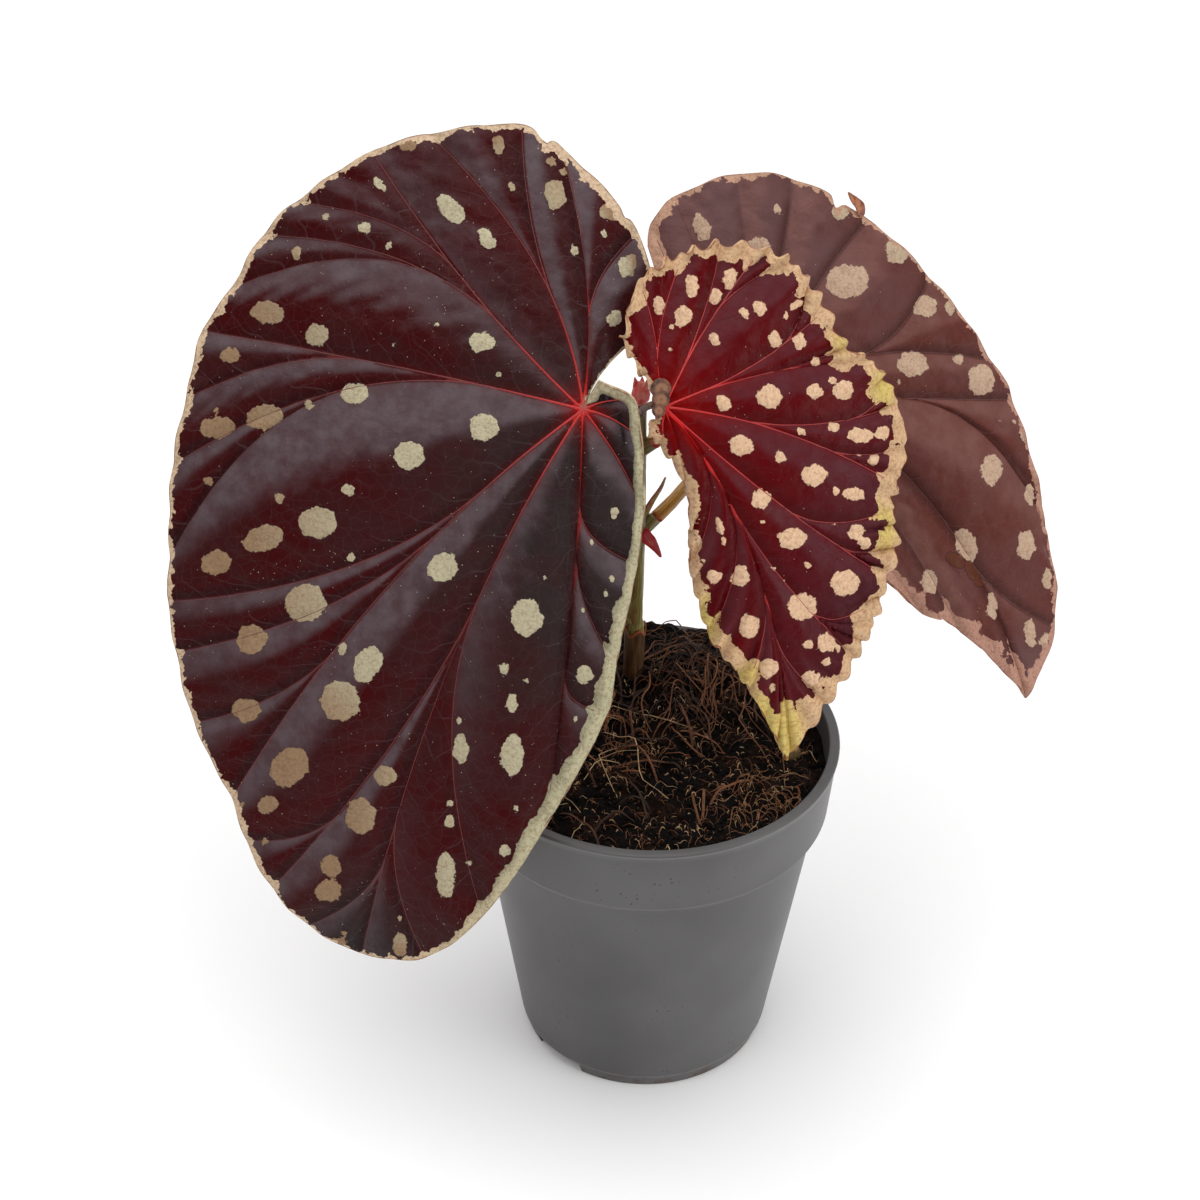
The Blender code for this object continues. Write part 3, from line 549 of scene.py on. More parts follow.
@dataclass
class Tube:
    """A closed tube along points, with a radius at each.

    Its "grain" attribute holds coordinates in millimetres that follow the tube, and
    "along" holds its share from 0 to 1.
    """

    points: list
    radii: list
    sides: int = 20
    flatness: float = 1.0
    lump: float = 0.0
    seed: float = 0.0

    def build(self, name: str, finish: Material) -> Piece:
        """The tube as an object, with rounded ends."""
        points, radii = [Vector(p) for p in self.points], list(self.radii)
        ends = (points[0] - points[1]).normalized(), (points[-1] - points[-2]).normalized()
        for reach, share in TUBE_ENDS:
            points.insert(0, points[0] + ends[0] * radii[0] * reach * 0.25)
            radii.insert(0, self.radii[0] * (1.0 - share * 0.75))
            points.append(points[-1] + ends[1] * radii[-1] * reach * 0.25)
            radii.append(self.radii[-1] * (1.0 - share * 0.75))
        last = len(points) - 1
        vertices, grain, along = [], [], []
        across, travelled = (points[1] - points[0]).normalized().orthogonal(), 0.0
        for k, point in enumerate(points):
            ahead = (points[min(k + 1, last)] - points[max(k - 1, 0)]).normalized()
            across = (across - ahead * across.dot(ahead)).normalized()
            other = ahead.cross(across)
            travelled += (point - points[max(k - 1, 0)]).length / MM
            for side in range(self.sides):
                angle = math.tau * side / self.sides
                x, y = math.cos(angle), math.sin(angle) * self.flatness
                lump = noise.noise(Vector((x * 3.0, y * 3.0, travelled * 0.5 + self.seed)))
                vertices.append(point + (across * x + other * y) * radii[k] * (1.0 + self.lump * lump))
                grain.append((x * radii[k] / MM * 2, y * radii[k] / MM * 2, travelled))
                along.append(k / last)
        rings = [list(range(k * self.sides, (k + 1) * self.sides)) for k in range(last + 1)]
        made = new_object(name, vertices, ring_faces(rings) + [rings[0][::-1], rings[-1]], finish)
        store(made.data, "grain", grain, "FLOAT_VECTOR")
        store(made.data, "along", along)
        return made


def join(parts: list[Piece], name: str) -> Piece:
    """One object of several of one material, with their attributes kept."""
    bm = bmesh.new()
    for part in parts:
        bm.from_mesh(part.data)
    finish = parts[0].data.materials[0]
    for part in parts:
        bpy.data.objects.remove(part, do_unlink=True)
    made = from_bmesh(name, bm)
    made.data.shade_smooth()
    made.data.materials.append(finish)
    return made


def lump_body(name: str, radius: float, roughness: float, seed: float, subdivisions: int = 2) -> Piece:
    """A small uneven ball."""
    bm = bmesh.new()
    bmesh.ops.create_icosphere(bm, subdivisions=subdivisions, radius=radius)
    for vertex in bm.verts:
        where = vertex.co.normalized() * 1.4 + Vector((seed, 0.0, 0.0))
        vertex.co *= 1.0 + roughness * noise.noise(where)
    return from_bmesh(name, bm)


# Geometry nodes


class Maker:
    """Geometry nodes that make a piece out of the mesh of an object."""

    def __init__(self, name: str, inputs: dict[str, str]) -> None:
        """Start the group of nodes.

        Args:
            name: Its name.
            inputs: The kind of each input by name, besides the mesh and the finish.
        """
        given = {"Start": "Geometry", **inputs, "Finish": "Material"}
        parts = new_group(name, given, {"Made": "Geometry"}, "GeometryNodeTree")
        self.tree, self.kit, self.given, self.result = parts
        sockets = self.tree.interface.items_tree
        self.keys = {item.name: item.identifier for item in sockets if item.in_out == "INPUT"}

    def named(self, name: str) -> bpy.types.Node:
        """The node that reads a value stored on the mesh."""
        return self.kit.node("GeometryNodeInputNamedAttribute", {"Name": name}, data_type="FLOAT")

    def end(self, geometry: bpy.types.Node) -> None:
        """End the tree with real, coated bodies."""
        real = self.kit.node("GeometryNodeRealizeInstances", {"Geometry": geometry})
        coated = {"Geometry": real, "Material": self.given["Finish"]}
        self.kit.feed(self.result["Made"], self.kit.node("GeometryNodeSetMaterial", coated))

    def apply(self, target: Piece, values: dict[str, object]) -> None:
        """Run the nodes on an object with values for the inputs."""
        step = target.modifiers.new("nodes", "NODES")
        step.node_group = self.tree
        for label, value in values.items():
            step[self.keys[label]] = value
        apply_modifiers(target)


class LineTubes(Maker):
    """Geometry nodes that turn lines into tubes as thick as their "thickness"."""

    def __init__(self) -> None:
        """Build the group of nodes."""
        super().__init__("Tubes along lines", {"Sides": "Int"})
        kit = self.kit
        curve = kit.node("GeometryNodeMeshToCurve", {"Mesh": self.given["Start"]})
        round_one = {"Radius": 1.0, "Resolution": self.given["Sides"]}
        ring = kit.node("GeometryNodeCurvePrimitiveCircle", round_one)
        swept = {"Curve": curve, "Profile Curve": ring, "Scale": self.named("thickness"), "Fill Caps": True}
        sweep = kit.node("GeometryNodeCurveToMesh", swept)
        self.end(kit.node("GeometryNodeSetShadeSmooth", {"Geometry": sweep}))

    def build(self, name: str, lines: list, finish: Material, sides: int) -> Piece:
        """Tubes along lines.

        Args:
            name: The object's name.
            lines: Each line as a list of (place, radius, tone), in metres.
            finish: The tubes' material, which may read the attribute "tone".
            sides: Corners around a tube.

        Returns:
            The object.
        """
        rows = [row for line in lines for row in line]
        starts = set(np.cumsum([0] + [len(line) for line in lines]).tolist())
        edges = [(n - 1, n) for n in range(1, len(rows)) if n not in starts]
        made = new_object(name, [row[0] for row in rows], [], edges=edges)
        store(made.data, "thickness", [row[1] for row in rows])
        store(made.data, "tone", [row[2] for row in rows])
        self.apply(made, {"Sides": sides, "Finish": finish})
        return made


class Scatter(Maker):
    """Geometry nodes that strew small bodies over a surface."""

    def __init__(self) -> None:
        """Build the group of nodes."""
        sizes = {"Density": "Float", "Smallest": "Float", "Largest": "Float", "Seed": "Int"}
        super().__init__("Strewn over a surface", {"Bodies": "Collection", **sizes})
        kit, given = self.kit, self.given
        dense = kit.times(self.named("strew"), given["Density"])
        places = kit.node("GeometryNodeDistributePointsOnFaces", {
            "Mesh": given["Start"], "Density": dense, "Seed": given["Seed"]})
        bodies = kit.node("GeometryNodeCollectionInfo", {
            "Collection": given["Bodies"], "Separate Children": True, "Reset Children": True})
        size = kit.node("FunctionNodeRandomValue", {
            2: given["Smallest"], 3: given["Largest"], "Seed": given["Seed"]}, data_type="FLOAT")
        turn = kit.node("FunctionNodeRandomValue", {1: (math.tau,) * 3}, data_type="FLOAT_VECTOR")
        self.end(kit.node("GeometryNodeInstanceOnPoints", {
            "Points": places, "Instance": bodies, "Pick Instance": True,
            "Scale": size.outputs[1], "Rotation": turn}))

    def build(self, name: str, surface: Piece, bodies: list, **values: object) -> Piece:
        """Strew bodies over a copy of a surface, and drop the bodies.

        Args:
            name: The object's name.
            surface: An object whose "strew" attribute says where, from 0 to 1.
            bodies: The bodies to pick from.
            **values: Density per square metre, Smallest, Largest, Seed and Finish.

        Returns:
            The object.
        """
        made = linked(name, surface.data.copy())
        group = bpy.data.collections.new(name + "_bodies")
        for body in bodies:
            bpy.context.scene.collection.objects.unlink(body)
            group.objects.link(body)
        self.apply(made, {"Bodies": group, **values})
        made.data.shade_smooth()
        for body in bodies:
            bpy.data.objects.remove(body, do_unlink=True)
        bpy.data.collections.remove(group)
        return made


# Point of view


@dataclass(frozen=True)
class PhotoView:
    """Where the photograph was taken from, and where a place shows in it.

    The place is in mm, the pitch is degrees downwards, the focal length and the side
    are in pixels of the photograph.
    """

    place: tuple[float, float, float] = (-12.0, -467.0, 449.0)
    pitch: float = 34.8
    roll: float = 0.55
    focal: float = 2500.0
    side: float = 1200.0

    def axes(self) -> tuple[Array, Array, Array]:
        """The view's right, up and forward directions."""
        pitch, roll = math.radians(self.pitch), math.radians(self.roll)
        forward = np.array((0.0, math.cos(pitch), -math.sin(pitch)))
        level = np.array((1.0, 0.0, 0.0))
        upright = np.cross(level, forward)
        right = math.cos(roll) * level + math.sin(roll) * upright
        return right, -math.sin(roll) * level + math.cos(roll) * upright, forward

    def project(self, points: Array) -> Array:
        """Pixel places of points in mm, one (x, y) row for each."""
        right, up, forward = self.axes()
        away = points - np.array(self.place)
        depth = away @ forward
        middle = self.side / 2.0
        x, y = self.focal * (away @ right) / depth, self.focal * (away @ up) / depth
        return np.stack((middle + x, middle - y), axis=1)

    def reach(self, x: float, y: float, place: Array, normal: Array) -> Array:
        """The point, in mm, of the plane through a place that shows at a pixel."""
        right, up, forward = self.axes()
        middle = self.side / 2.0
        ray = forward + (right * (x - middle) - up * (y - middle)) / self.focal
        start = np.array(self.place)
        return start + ray * ((place - start) @ normal) / (ray @ normal)


VIEW = PhotoView()


@dataclass(frozen=True)
class Spot:
    """A pale spot, as the photograph shows it.

    Its middle (x, y), its half length and its half width are in pixels of the
    photograph. The lean of its length is in degrees upwards from the right.
    """

    x: float
    y: float
    length: float
    width: float
    lean: float = 0.0

    def distance(self, pixels: Array) -> Array:
        """Distance in pixels outside the spot, negative inside."""
        angle = math.radians(-self.lean)
        dx, dy = pixels[:, 0] - self.x, pixels[:, 1] - self.y
        along = dx * math.cos(angle) + dy * math.sin(angle)
        across = -dx * math.sin(angle) + dy * math.cos(angle)
        near = np.hypot(along / self.length, across / self.width) + TINY
        steep = np.hypot(along / self.length ** 2, across / self.width ** 2) + TINY
        return near * (near - 1.0) / steep


PIXELS_PER_MM = 4.4
SPOT_CLEAR = 3.0


def spots(*rows: tuple[float, ...]) -> tuple[Spot, ...]:
    """Spots from rows of x, y, length, width and maybe lean."""
    return tuple(Spot(*row) for row in rows)


def nearest_spot(some: tuple[Spot, ...], pixels: Array) -> Array:
    """Distance in mm to the nearest of some spots, negative inside."""
    made = np.full(len(pixels), SPOT_CLEAR)
    for spot in some:
        made = np.minimum(made, spot.distance(pixels) / PIXELS_PER_MM)
    return made


# Leaves

NEAR_REACH = 19.0
BLADE_HALF = 0.38
MARGIN_HALF = 0.26
ROW_CROWDING = 1.35
RUFFLE_POWER = 8
RUFFLE_START = 12.0
VEIN_HANDLE = 0.45
LIFT_POWER = 2.5
BLADE_THICKNESS = 0.8
QUILT_WIDTH = 9.0
QUILT_LENGTH = 8.5
FRILL_POWER = 12
FRILL_TURNS = 1.25
CALM_TIP = 9.0
LIGHT_SIDE = np.array((-0.8, 0.9))
TIP_SHADE = 26.0
CUT_DEPTH = 2.4
CUT_LENGTH = 4.6
PLEAT_FADE = 0.5
RUFFLE_PULL = 0.35
FRILL_PULL = 1.1
FRILL_LAG = 0.8
FRILL_DRIFT = 2.5
FRILL_DRIFT_PER_MM = 0.21
NOTCH_POWER = 40


@dataclass(frozen=True)
class Vein:
    """A vein or a lobe's cut edge, from the petiole to the margin, in the flat leaf.

    Bearings are degrees, counter-clockwise from the leaf's right. Lengths are in mm.
    A fork follows its parent as far as the share fork_at of the parent's length. The
    edge is the width of the pale margin at the vein's tip, and torn says how ragged it is.
    """

    name: str
    start: float
    tip: float
    reach: float
    edge: float
    lift: float = 0.0
    parent: str = ""
    fork_at: float = 0.0
    pointed: bool = False
    torn: float = 1.0


def fork(
    name: str, parent: str, fork_at: float, tip: float, reach: float, edge: float, **others: float
) -> Vein:
    """A vein that leaves its parent at a share of the parent's length."""
    return Vein(name, 0.0, tip, reach, edge, parent=parent, fork_at=fork_at, **others)


@dataclass(frozen=True)
class Notch:
    """A nick in a margin, from one vein's tip towards the next, in mm."""

    vein: str
    share: float
    depth: float
    width: float


@dataclass(frozen=True)
class LeafPlan:
    """One blade: where its petiole joins, how it faces, its veins, spots and wrinkles.

    A torn flap is given as (x, y, lift, radius) rows: pixels of the photograph, then mm.
    """

    name: str
    junction: tuple[float, float, float]
    turn: float
    tilt: float
    crown: tuple[float, float]
    bow: tuple[float, float]
    pleat: float
    ruffle: float
    ruffle_length: float
    rows: int
    grain: float
    wrinkle: float
    vein_radius: float
    rib_radius: float
    bead: float
    veins: tuple[Vein, ...]
    spots: tuple[Spot, ...]
    blemishes: tuple[Spot, ...] = ()
    painted_shadows: tuple[Spot, ...] = ()
    tints: tuple[Spot, ...] = ()
    notches: tuple[Notch, ...] = ()
    flap: tuple[tuple[float, float, float, float], ...] = ()
    frill: float = 0.0
    cut_frill: float = 0.0
    quilt: float = 0.12
    dome: float = 0.1
    specks: float = 0.0


FRONT_SPOTS = spots(
    (380, 185, 8.5, 4.5, -52), (326, 217, 4, 4), (364.5, 228, 7, 6), (390, 245.6, 3, 3),
    (451.5, 209.5, 18, 10, -51), (486.4, 239.6, 12, 7, -60), (424, 268, 4, 2.5, -45), (511, 187.6, 3, 5),
    (555, 194.7, 10.5, 15), (550, 162.5, 5, 5), (562, 173, 3, 5), (609.4, 212.4, 11, 8),
    (603.4, 234.3, 3, 3.5), (573.7, 250.2, 3.5, 5.5), (627, 266, 12, 9, 60), (613, 318.4, 9, 6, 60),
    (297, 252.6, 5, 6), (268.4, 312.7, 17, 11, -10), (317.8, 335.3, 12, 11), (230.6, 355, 10, 8),
    (481.4, 342, 13, 10), (436.6, 324.7, 2, 2), (381.5, 333.6, 2, 1.2), (394.5, 345.2, 2, 2),
    (499, 373.5, 2.2, 2.2), (355, 393.3, 14, 11.5), (309, 404.6, 5, 4.5), (264.8, 416.6, 19.5, 12, 8),
    (218.2, 427.6, 18, 11), (217, 410, 4, 3), (261, 434.6, 2.5, 2.5), (484, 427.2, 14.5, 13.5),
    (409.7, 455.5, 15.5, 14), (349, 489.8, 6.5, 5), (280, 498.6, 5.5, 5), (209.4, 481, 5, 4),
    (317.8, 522.3, 19, 16), (263.3, 538.4, 21, 12.5, 20), (216.5, 562.4, 15.5, 12, 15), (352.2, 557, 4.5, 4),
    (306.2, 603, 21, 19, 15), (252, 639, 16, 15), (442.7, 567, 16, 13, 30), (368.5, 663.7, 20, 13, 60),
    (340.6, 700.8, 20, 20), (343.4, 648.6, 5, 6), (246.7, 710, 15, 12), (230.4, 727, 2.2, 2.2),
    (290.4, 766.2, 22, 17, 45), (268.3, 804, 11, 8, 30), (385.9, 775.5, 11, 10), (360.7, 815.3, 15, 18),
    (526.6, 617.3, 15.5, 18.5), (614.4, 512, 4, 6), (543.7, 577.5, 2.2, 2.2), (592, 542.7, 2.5, 3.5),
    (612, 579.8, 2.5, 3), (606, 593, 2.5, 3.5), (582, 610, 2, 2), (504.6, 670, 4.5, 6.5), (512, 703.2, 6, 9),
    (461.3, 748, 8, 14), (512.3, 755, 11.5, 21), (459, 719.8, 2, 3), (449, 821, 5.5, 6), (450, 803, 3, 3),
    (445.8, 874.5, 9.5, 23), (469.4, 862.5, 3.5, 3), (331.7, 865.6, 10, 12), (328.7, 890.3, 13, 11),
    (265.6, 840, 4, 5), (243.2, 804, 3, 3), (585, 673.8, 8.5, 9), (575, 718, 3, 2.5), (516, 808, 3, 4),
    (338.3, 941.4, 8, 5), (400.6, 944.5, 8, 12), (344.9, 932.9, 3, 3), (399.4, 917.4, 2.5, 3.5),
    (444.3, 923.2, 2, 3), (525.9, 679.2, 2.5, 2), (499, 146, 5, 10), (408, 145, 8, 6), (505, 850, 6, 6),
)

MIDDLE_SPOTS = spots(
    (658.3, 304.8, 5.5, 9.5), (692.2, 285.8, 6, 11), (682.7, 316.6, 8, 11), (728.8, 278.6, 11, 6.5, 70),
    (715.4, 296.3, 7.5, 5.5, 60), (744.3, 313.5, 4.5, 6), (759.2, 308.5, 6.5, 8), (715, 339.5, 5, 6.5),
    (785.2, 314.9, 3, 4.5), (796, 304.8, 8, 3.5, 35), (774, 338.5, 6.5, 8.5), (798.8, 341.4, 6.5, 8),
    (814.1, 360.4, 6, 5.5), (832.9, 380.6, 4, 3), (769, 396.5, 13, 11.5), (723, 402.7, 7.5, 7.5),
    (813.5, 391.6, 8, 7), (842.2, 390.3, 11, 9), (832.5, 426.3, 6, 4.5), (802.1, 430.8, 4, 3),
    (859.6, 435.4, 12.5, 8), (881, 432.5, 8, 7.5), (740.8, 444.9, 12.5, 10), (780, 457, 7, 5, -25),
    (857.9, 455.4, 2, 1.5), (872.4, 459.8, 6, 4.5), (813.7, 475.7, 12.5, 11), (835, 491.4, 4, 4),
    (852.8, 494, 11.5, 6.5), (760.6, 499.2, 10, 10), (672, 327.5, 1.6, 1.6), (669.7, 349.2, 1.8, 1.8),
    (720, 526, 9.5, 3.5, -75), (724, 541, 2, 4.5), (762, 521.6, 2.5, 2), (791.4, 538, 14.5, 10.5),
    (833.6, 523.4, 3, 2), (855.6, 531.6, 9.5, 7.5), (864, 542, 7, 5.5), (807.6, 564.2, 3.5, 2.5),
    (773.4, 567.4, 2.5, 2), (782.8, 580, 1.7, 1.7), (714.6, 576.4, 7.5, 7), (739.6, 575.6, 9.5, 11),
    (843.6, 582.4, 14.5, 12.5), (801.6, 606, 15.5, 13.5), (749, 625.4, 9.5, 12.5), (707.2, 604.6, 3.5, 4),
    (807.2, 644, 5, 4), (825.6, 642.4, 10, 10), (837, 649, 3, 5), (825.6, 660.4, 4, 3.5),
    (768, 667, 8.5, 10), (771.4, 686, 3, 5), (810.4, 678, 8, 8), (817, 687, 4, 6), (703.6, 560, 1.6, 1.6),
    (699, 542, 3.5, 6),
)

BACK_SPOTS = spots(
    (701.6, 227.8, 14, 8, -70), (777.9, 210.2, 4.5, 5), (759, 246, 11, 9), (839.8, 211.3, 9, 8.5),
    (896.7, 251.7, 11.5, 12.5), (847.2, 281.7, 21.5, 17, 15), (925, 306.7, 12, 11), (949.9, 307.4, 6, 8),
    (912, 363.9, 15, 12.5), (957.6, 359, 5.5, 6), (981, 380, 13.5, 15.5), (897.4, 381.5, 2.5, 2.5),
    (998.6, 421, 3, 2.5), (1013.7, 422.6, 2.5, 2.5), (1022.5, 434.3, 4, 8), (990.2, 469.9, 11, 15),
    (1028.7, 493.7, 4.5, 12), (965.3, 545, 18, 11, -70), (1025, 545, 8.5, 14.5), (929, 580.6, 8, 13),
    (1046.3, 578, 4.5, 10), (991, 606, 6, 13), (1029.4, 633, 6, 14), (1044, 640.4, 5, 8),
    (985, 653, 9, 6, -40), (1006, 673, 14, 9, -35),
)

# Places of painted shadow under the front leaf's curled lobe.
FRONT_PAINTED_SHADOWS = spots((600, 396, 16, 9, -25), (622, 428, 4, 18, 12))

MIDDLE_TINTS = spots(
    (770, 735, 32, 45), (706, 622, 12, 28), (884, 528, 12, 20), (840, 340, 6, 12), (882, 388, 13, 18),
    (873, 510, 7, 7), (735, 684, 10, 30, -50),
)

BACK_FLAP = (
    (861.0, 215.0, 0.2, 1.3), (859.0, 207.0, 0.7, 1.6), (852.0, 201.0, 1.3, 1.2), (846.0, 194.0, 1.5, 0.3),
)

BACK_BLEMISHES = spots((972, 572, 12, 6, -60), (955, 560, 10, 6, -30), (979, 583, 5, 4))

LEAF_FRONT = LeafPlan(
    name="leaf_front", junction=(-16.0, -6.0, 178.0), turn=-2.0, tilt=58.0, crown=(-10.0, 0.0),
    bow=(300.0, 330.0), pleat=0.10, ruffle=0.4, ruffle_length=11.0, rows=11, grain=0.8, wrinkle=0.45,
    vein_radius=0.30, rib_radius=1.0, bead=0.75, painted_shadows=FRONT_PAINTED_SHADOWS, specks=60000.0,
    notches=(Notch("top_right", 0.45, 2.0, 1.6), Notch("top_right_fork", 0.2, 1.0, 1.2)),
    spots=FRONT_SPOTS,
    veins=(
        Vein("cut_upper", 75, 51, 24.5, 0.6, lift=-7, torn=0.5),
        fork("top_right_fork", "top_right", 0.36, 75, 40, 1.2, lift=-6),
        Vein("top_right", 82, 97, 57, 1.9, lift=-2),
        fork("top_fork", "top", 0.37, 104, 62.5, 0.9),
        Vein("top", 97, 121, 68, 1.1),
        Vein("upper_left", 139, 131, 72, 1.0),
        fork("upper_left_fork", "upper_left", 0.53, 146, 77, 1.1),
        fork("upper_left_low", "upper_left", 0.31, 153, 79.3, 1.1),
        fork("upper_left_last", "upper_left_low", 0.59, 163, 81.3, 1.2),
        Vein("left", 167, 170, 85, 1.2),
        fork("left_fork", "left", 0.55, 180, 87, 1.1),
        fork("left_low", "left", 0.22, 189, 91, 1.3),
        fork("left_low_fork", "left_low", 0.56, 201, 97, 0.9),
        fork("lower_left_thin", "lower_left", 0.23, 206, 101, 0.9),
        fork("lower_left_high", "lower_left", 0.32, 212, 105, 1.0),
        fork("lower_left_fork", "lower_left", 0.63, 220, 111, 1.0),
        Vein("lower_left", 217, 229, 117, 1.0),
        fork("bottom_left_fork", "bottom_left", 0.80, 233, 122.5, 1.1),
        fork("bottom_left", "midrib", 0.37, 238, 128.5, 0.9, lift=-1),
        fork("midrib_high", "midrib", 0.81, 243, 132, 0.3, lift=-2),
        Vein("midrib", 238, 249, 132.5, 0.25, lift=-2),
        fork("midrib_low", "midrib", 0.71, 255, 128, 1.2, lift=-1),
        fork("bottom", "midrib", 0.37, 260, 114.5, 2.6, torn=0.5),
        Vein("bottom_right", 271, 266, 92, 3.2, torn=0.5),
        fork("right_low", "bottom_right", 0.62, 276, 66, 3.2, torn=0.5),
        fork("right_mid", "bottom_right", 0.33, 279, 55, 3.4, torn=0.5),
        fork("right_high", "bottom_right", 0.20, 291, 35, 2.3, torn=0.3),
        Vein("right", 312, 303, 25, 2.1, lift=1, torn=0.15),
        Vein("lobe", 355, 335, 14, 2.0, lift=2.5, torn=0.1),
        Vein("lobe_edge", 392, 373, 11, 1.9, lift=3.5, torn=0.1),
        Vein("cut_lower", 430, 423, 7, 1.9, lift=4, torn=0.1),
    ),
)

LEAF_MIDDLE = LeafPlan(
    name="leaf_middle", junction=(1.3, -5.0, 178.3), turn=12.0, tilt=66.0, crown=(12.0, -20.0),
    bow=(120.0, 220.0), pleat=0.12, ruffle=1.1, ruffle_length=5.6, rows=9, grain=0.5, wrinkle=0.45,
    vein_radius=0.30, rib_radius=0.8, bead=0.3, frill=0.62, cut_frill=0.75, dome=0.28, tints=MIDDLE_TINTS,
    specks=30000.0, spots=MIDDLE_SPOTS,
    veins=(
        Vein("cut_lower", 228, 232, 7, 1.0, lift=-1),
        Vein("lobe_low", 262, 265, 9, 1.1, lift=-2),
        Vein("left_high", 288, 282, 19, 1.3, lift=-3),
        fork("left_mid", "midrib", 0.16, 276, 36, 1.5, lift=-3),
        fork("left_low", "midrib", 0.27, 278, 52, 2.0, lift=-2),
        fork("midrib_left", "midrib", 0.58, 283, 65, 3.3, lift=-1),
        Vein("midrib", 307, 286, 86, 7.4, pointed=True),
        fork("midrib_right", "midrib", 0.66, 296.5, 77.5, 3.4),
        fork("lower_right", "midrib", 0.34, 304, 73, 3.4),
        fork("lower_right_fork", "lower_right", 0.78, 314, 68, 3.1),
        Vein("right_long", 312, 318, 65.5, 3.6),
        fork("right_long_fork", "right_long", 0.76, 324, 64, 3.8),
        fork("right_mid", "right_long", 0.50, 331, 58, 3.4),
        Vein("right", 350, 336, 57, 3.6),
        fork("right_fork", "right", 0.68, 345, 57, 3.3),
        fork("right_high", "right", 0.28, 354, 54, 3.3),
        fork("right_high_fork", "right_high", 0.72, 359, 52, 3.6),
        Vein("upper_right", 380, 366, 48, 3.8),
        fork("upper_right_fork", "upper_right", 0.54, 372, 43, 3.1),
        fork("upper", "upper_right", 0.19, 384, 42, 2.8),
        fork("upper_fork", "upper", 0.62, 393, 42, 3.0),
        fork("top_low", "top", 0.57, 402, 42, 2.8),
        Vein("top", 421, 412, 40, 2.5),
        fork("top_left", "top", 0.20, 424, 37, 2.1),
        Vein("lobe_high", 462, 436, 33, 2.0),
        fork("lobe_fork", "lobe_high", 0.30, 456, 27, 1.8, lift=1),
        Vein("cut_upper", 485, 478, 17, 1.3, lift=2),
    ),
)

LEAF_BACK = LeafPlan(
    name="leaf_back", junction=(26.1, 38.0, 157.3), turn=14.0, tilt=60.0, crown=(10.0, -10.0),
    bow=(260.0, 260.0), pleat=0.10, ruffle=0.5, ruffle_length=13.0, rows=9, grain=0.8, wrinkle=0.7,
    vein_radius=0.22, rib_radius=0.8, bead=0.0, specks=12000.0,
    notches=(Notch("upper", 0.42, 2.6, 1.1), Notch("bottom", 0.3, 1.6, 1.0),
             Notch("lobe_low", 0.6, 1.0, 0.8)),
    spots=BACK_SPOTS, blemishes=BACK_BLEMISHES, flap=BACK_FLAP,
    veins=(
        Vein("cut_lower", 280, 298, 54, 2.6),
        Vein("lobe_low", 298, 301, 66, 2.6),
        Vein("bottom", 318, 305, 76, 3.0),
        Vein("midrib", 338, 307, 103, 3.6, pointed=True),
        fork("midrib_fork", "midrib", 0.65, 317, 96, 0.9),
        fork("right_low", "right", 0.50, 329, 80, 0.8),
        Vein("right", 350, 352, 62.5, 0.8),
        Vein("upper_right", 386, 361, 57.5, 0.8),
        fork("upper_right_fork", "upper_right", 0.38, 387, 49.3, 0.7),
        Vein("upper", 426, 411, 48, 0.8),
        Vein("top", 438, 434, 50.5, 0.8),
        Vein("top_left", 452, 450, 51, 1.0),
        Vein("left_high", 472, 468, 49.5, 1.4),
        Vein("left", 500, 477, 47, 2.0),
        Vein("cut_upper", 535, 482, 43, 2.4),
    ),
)


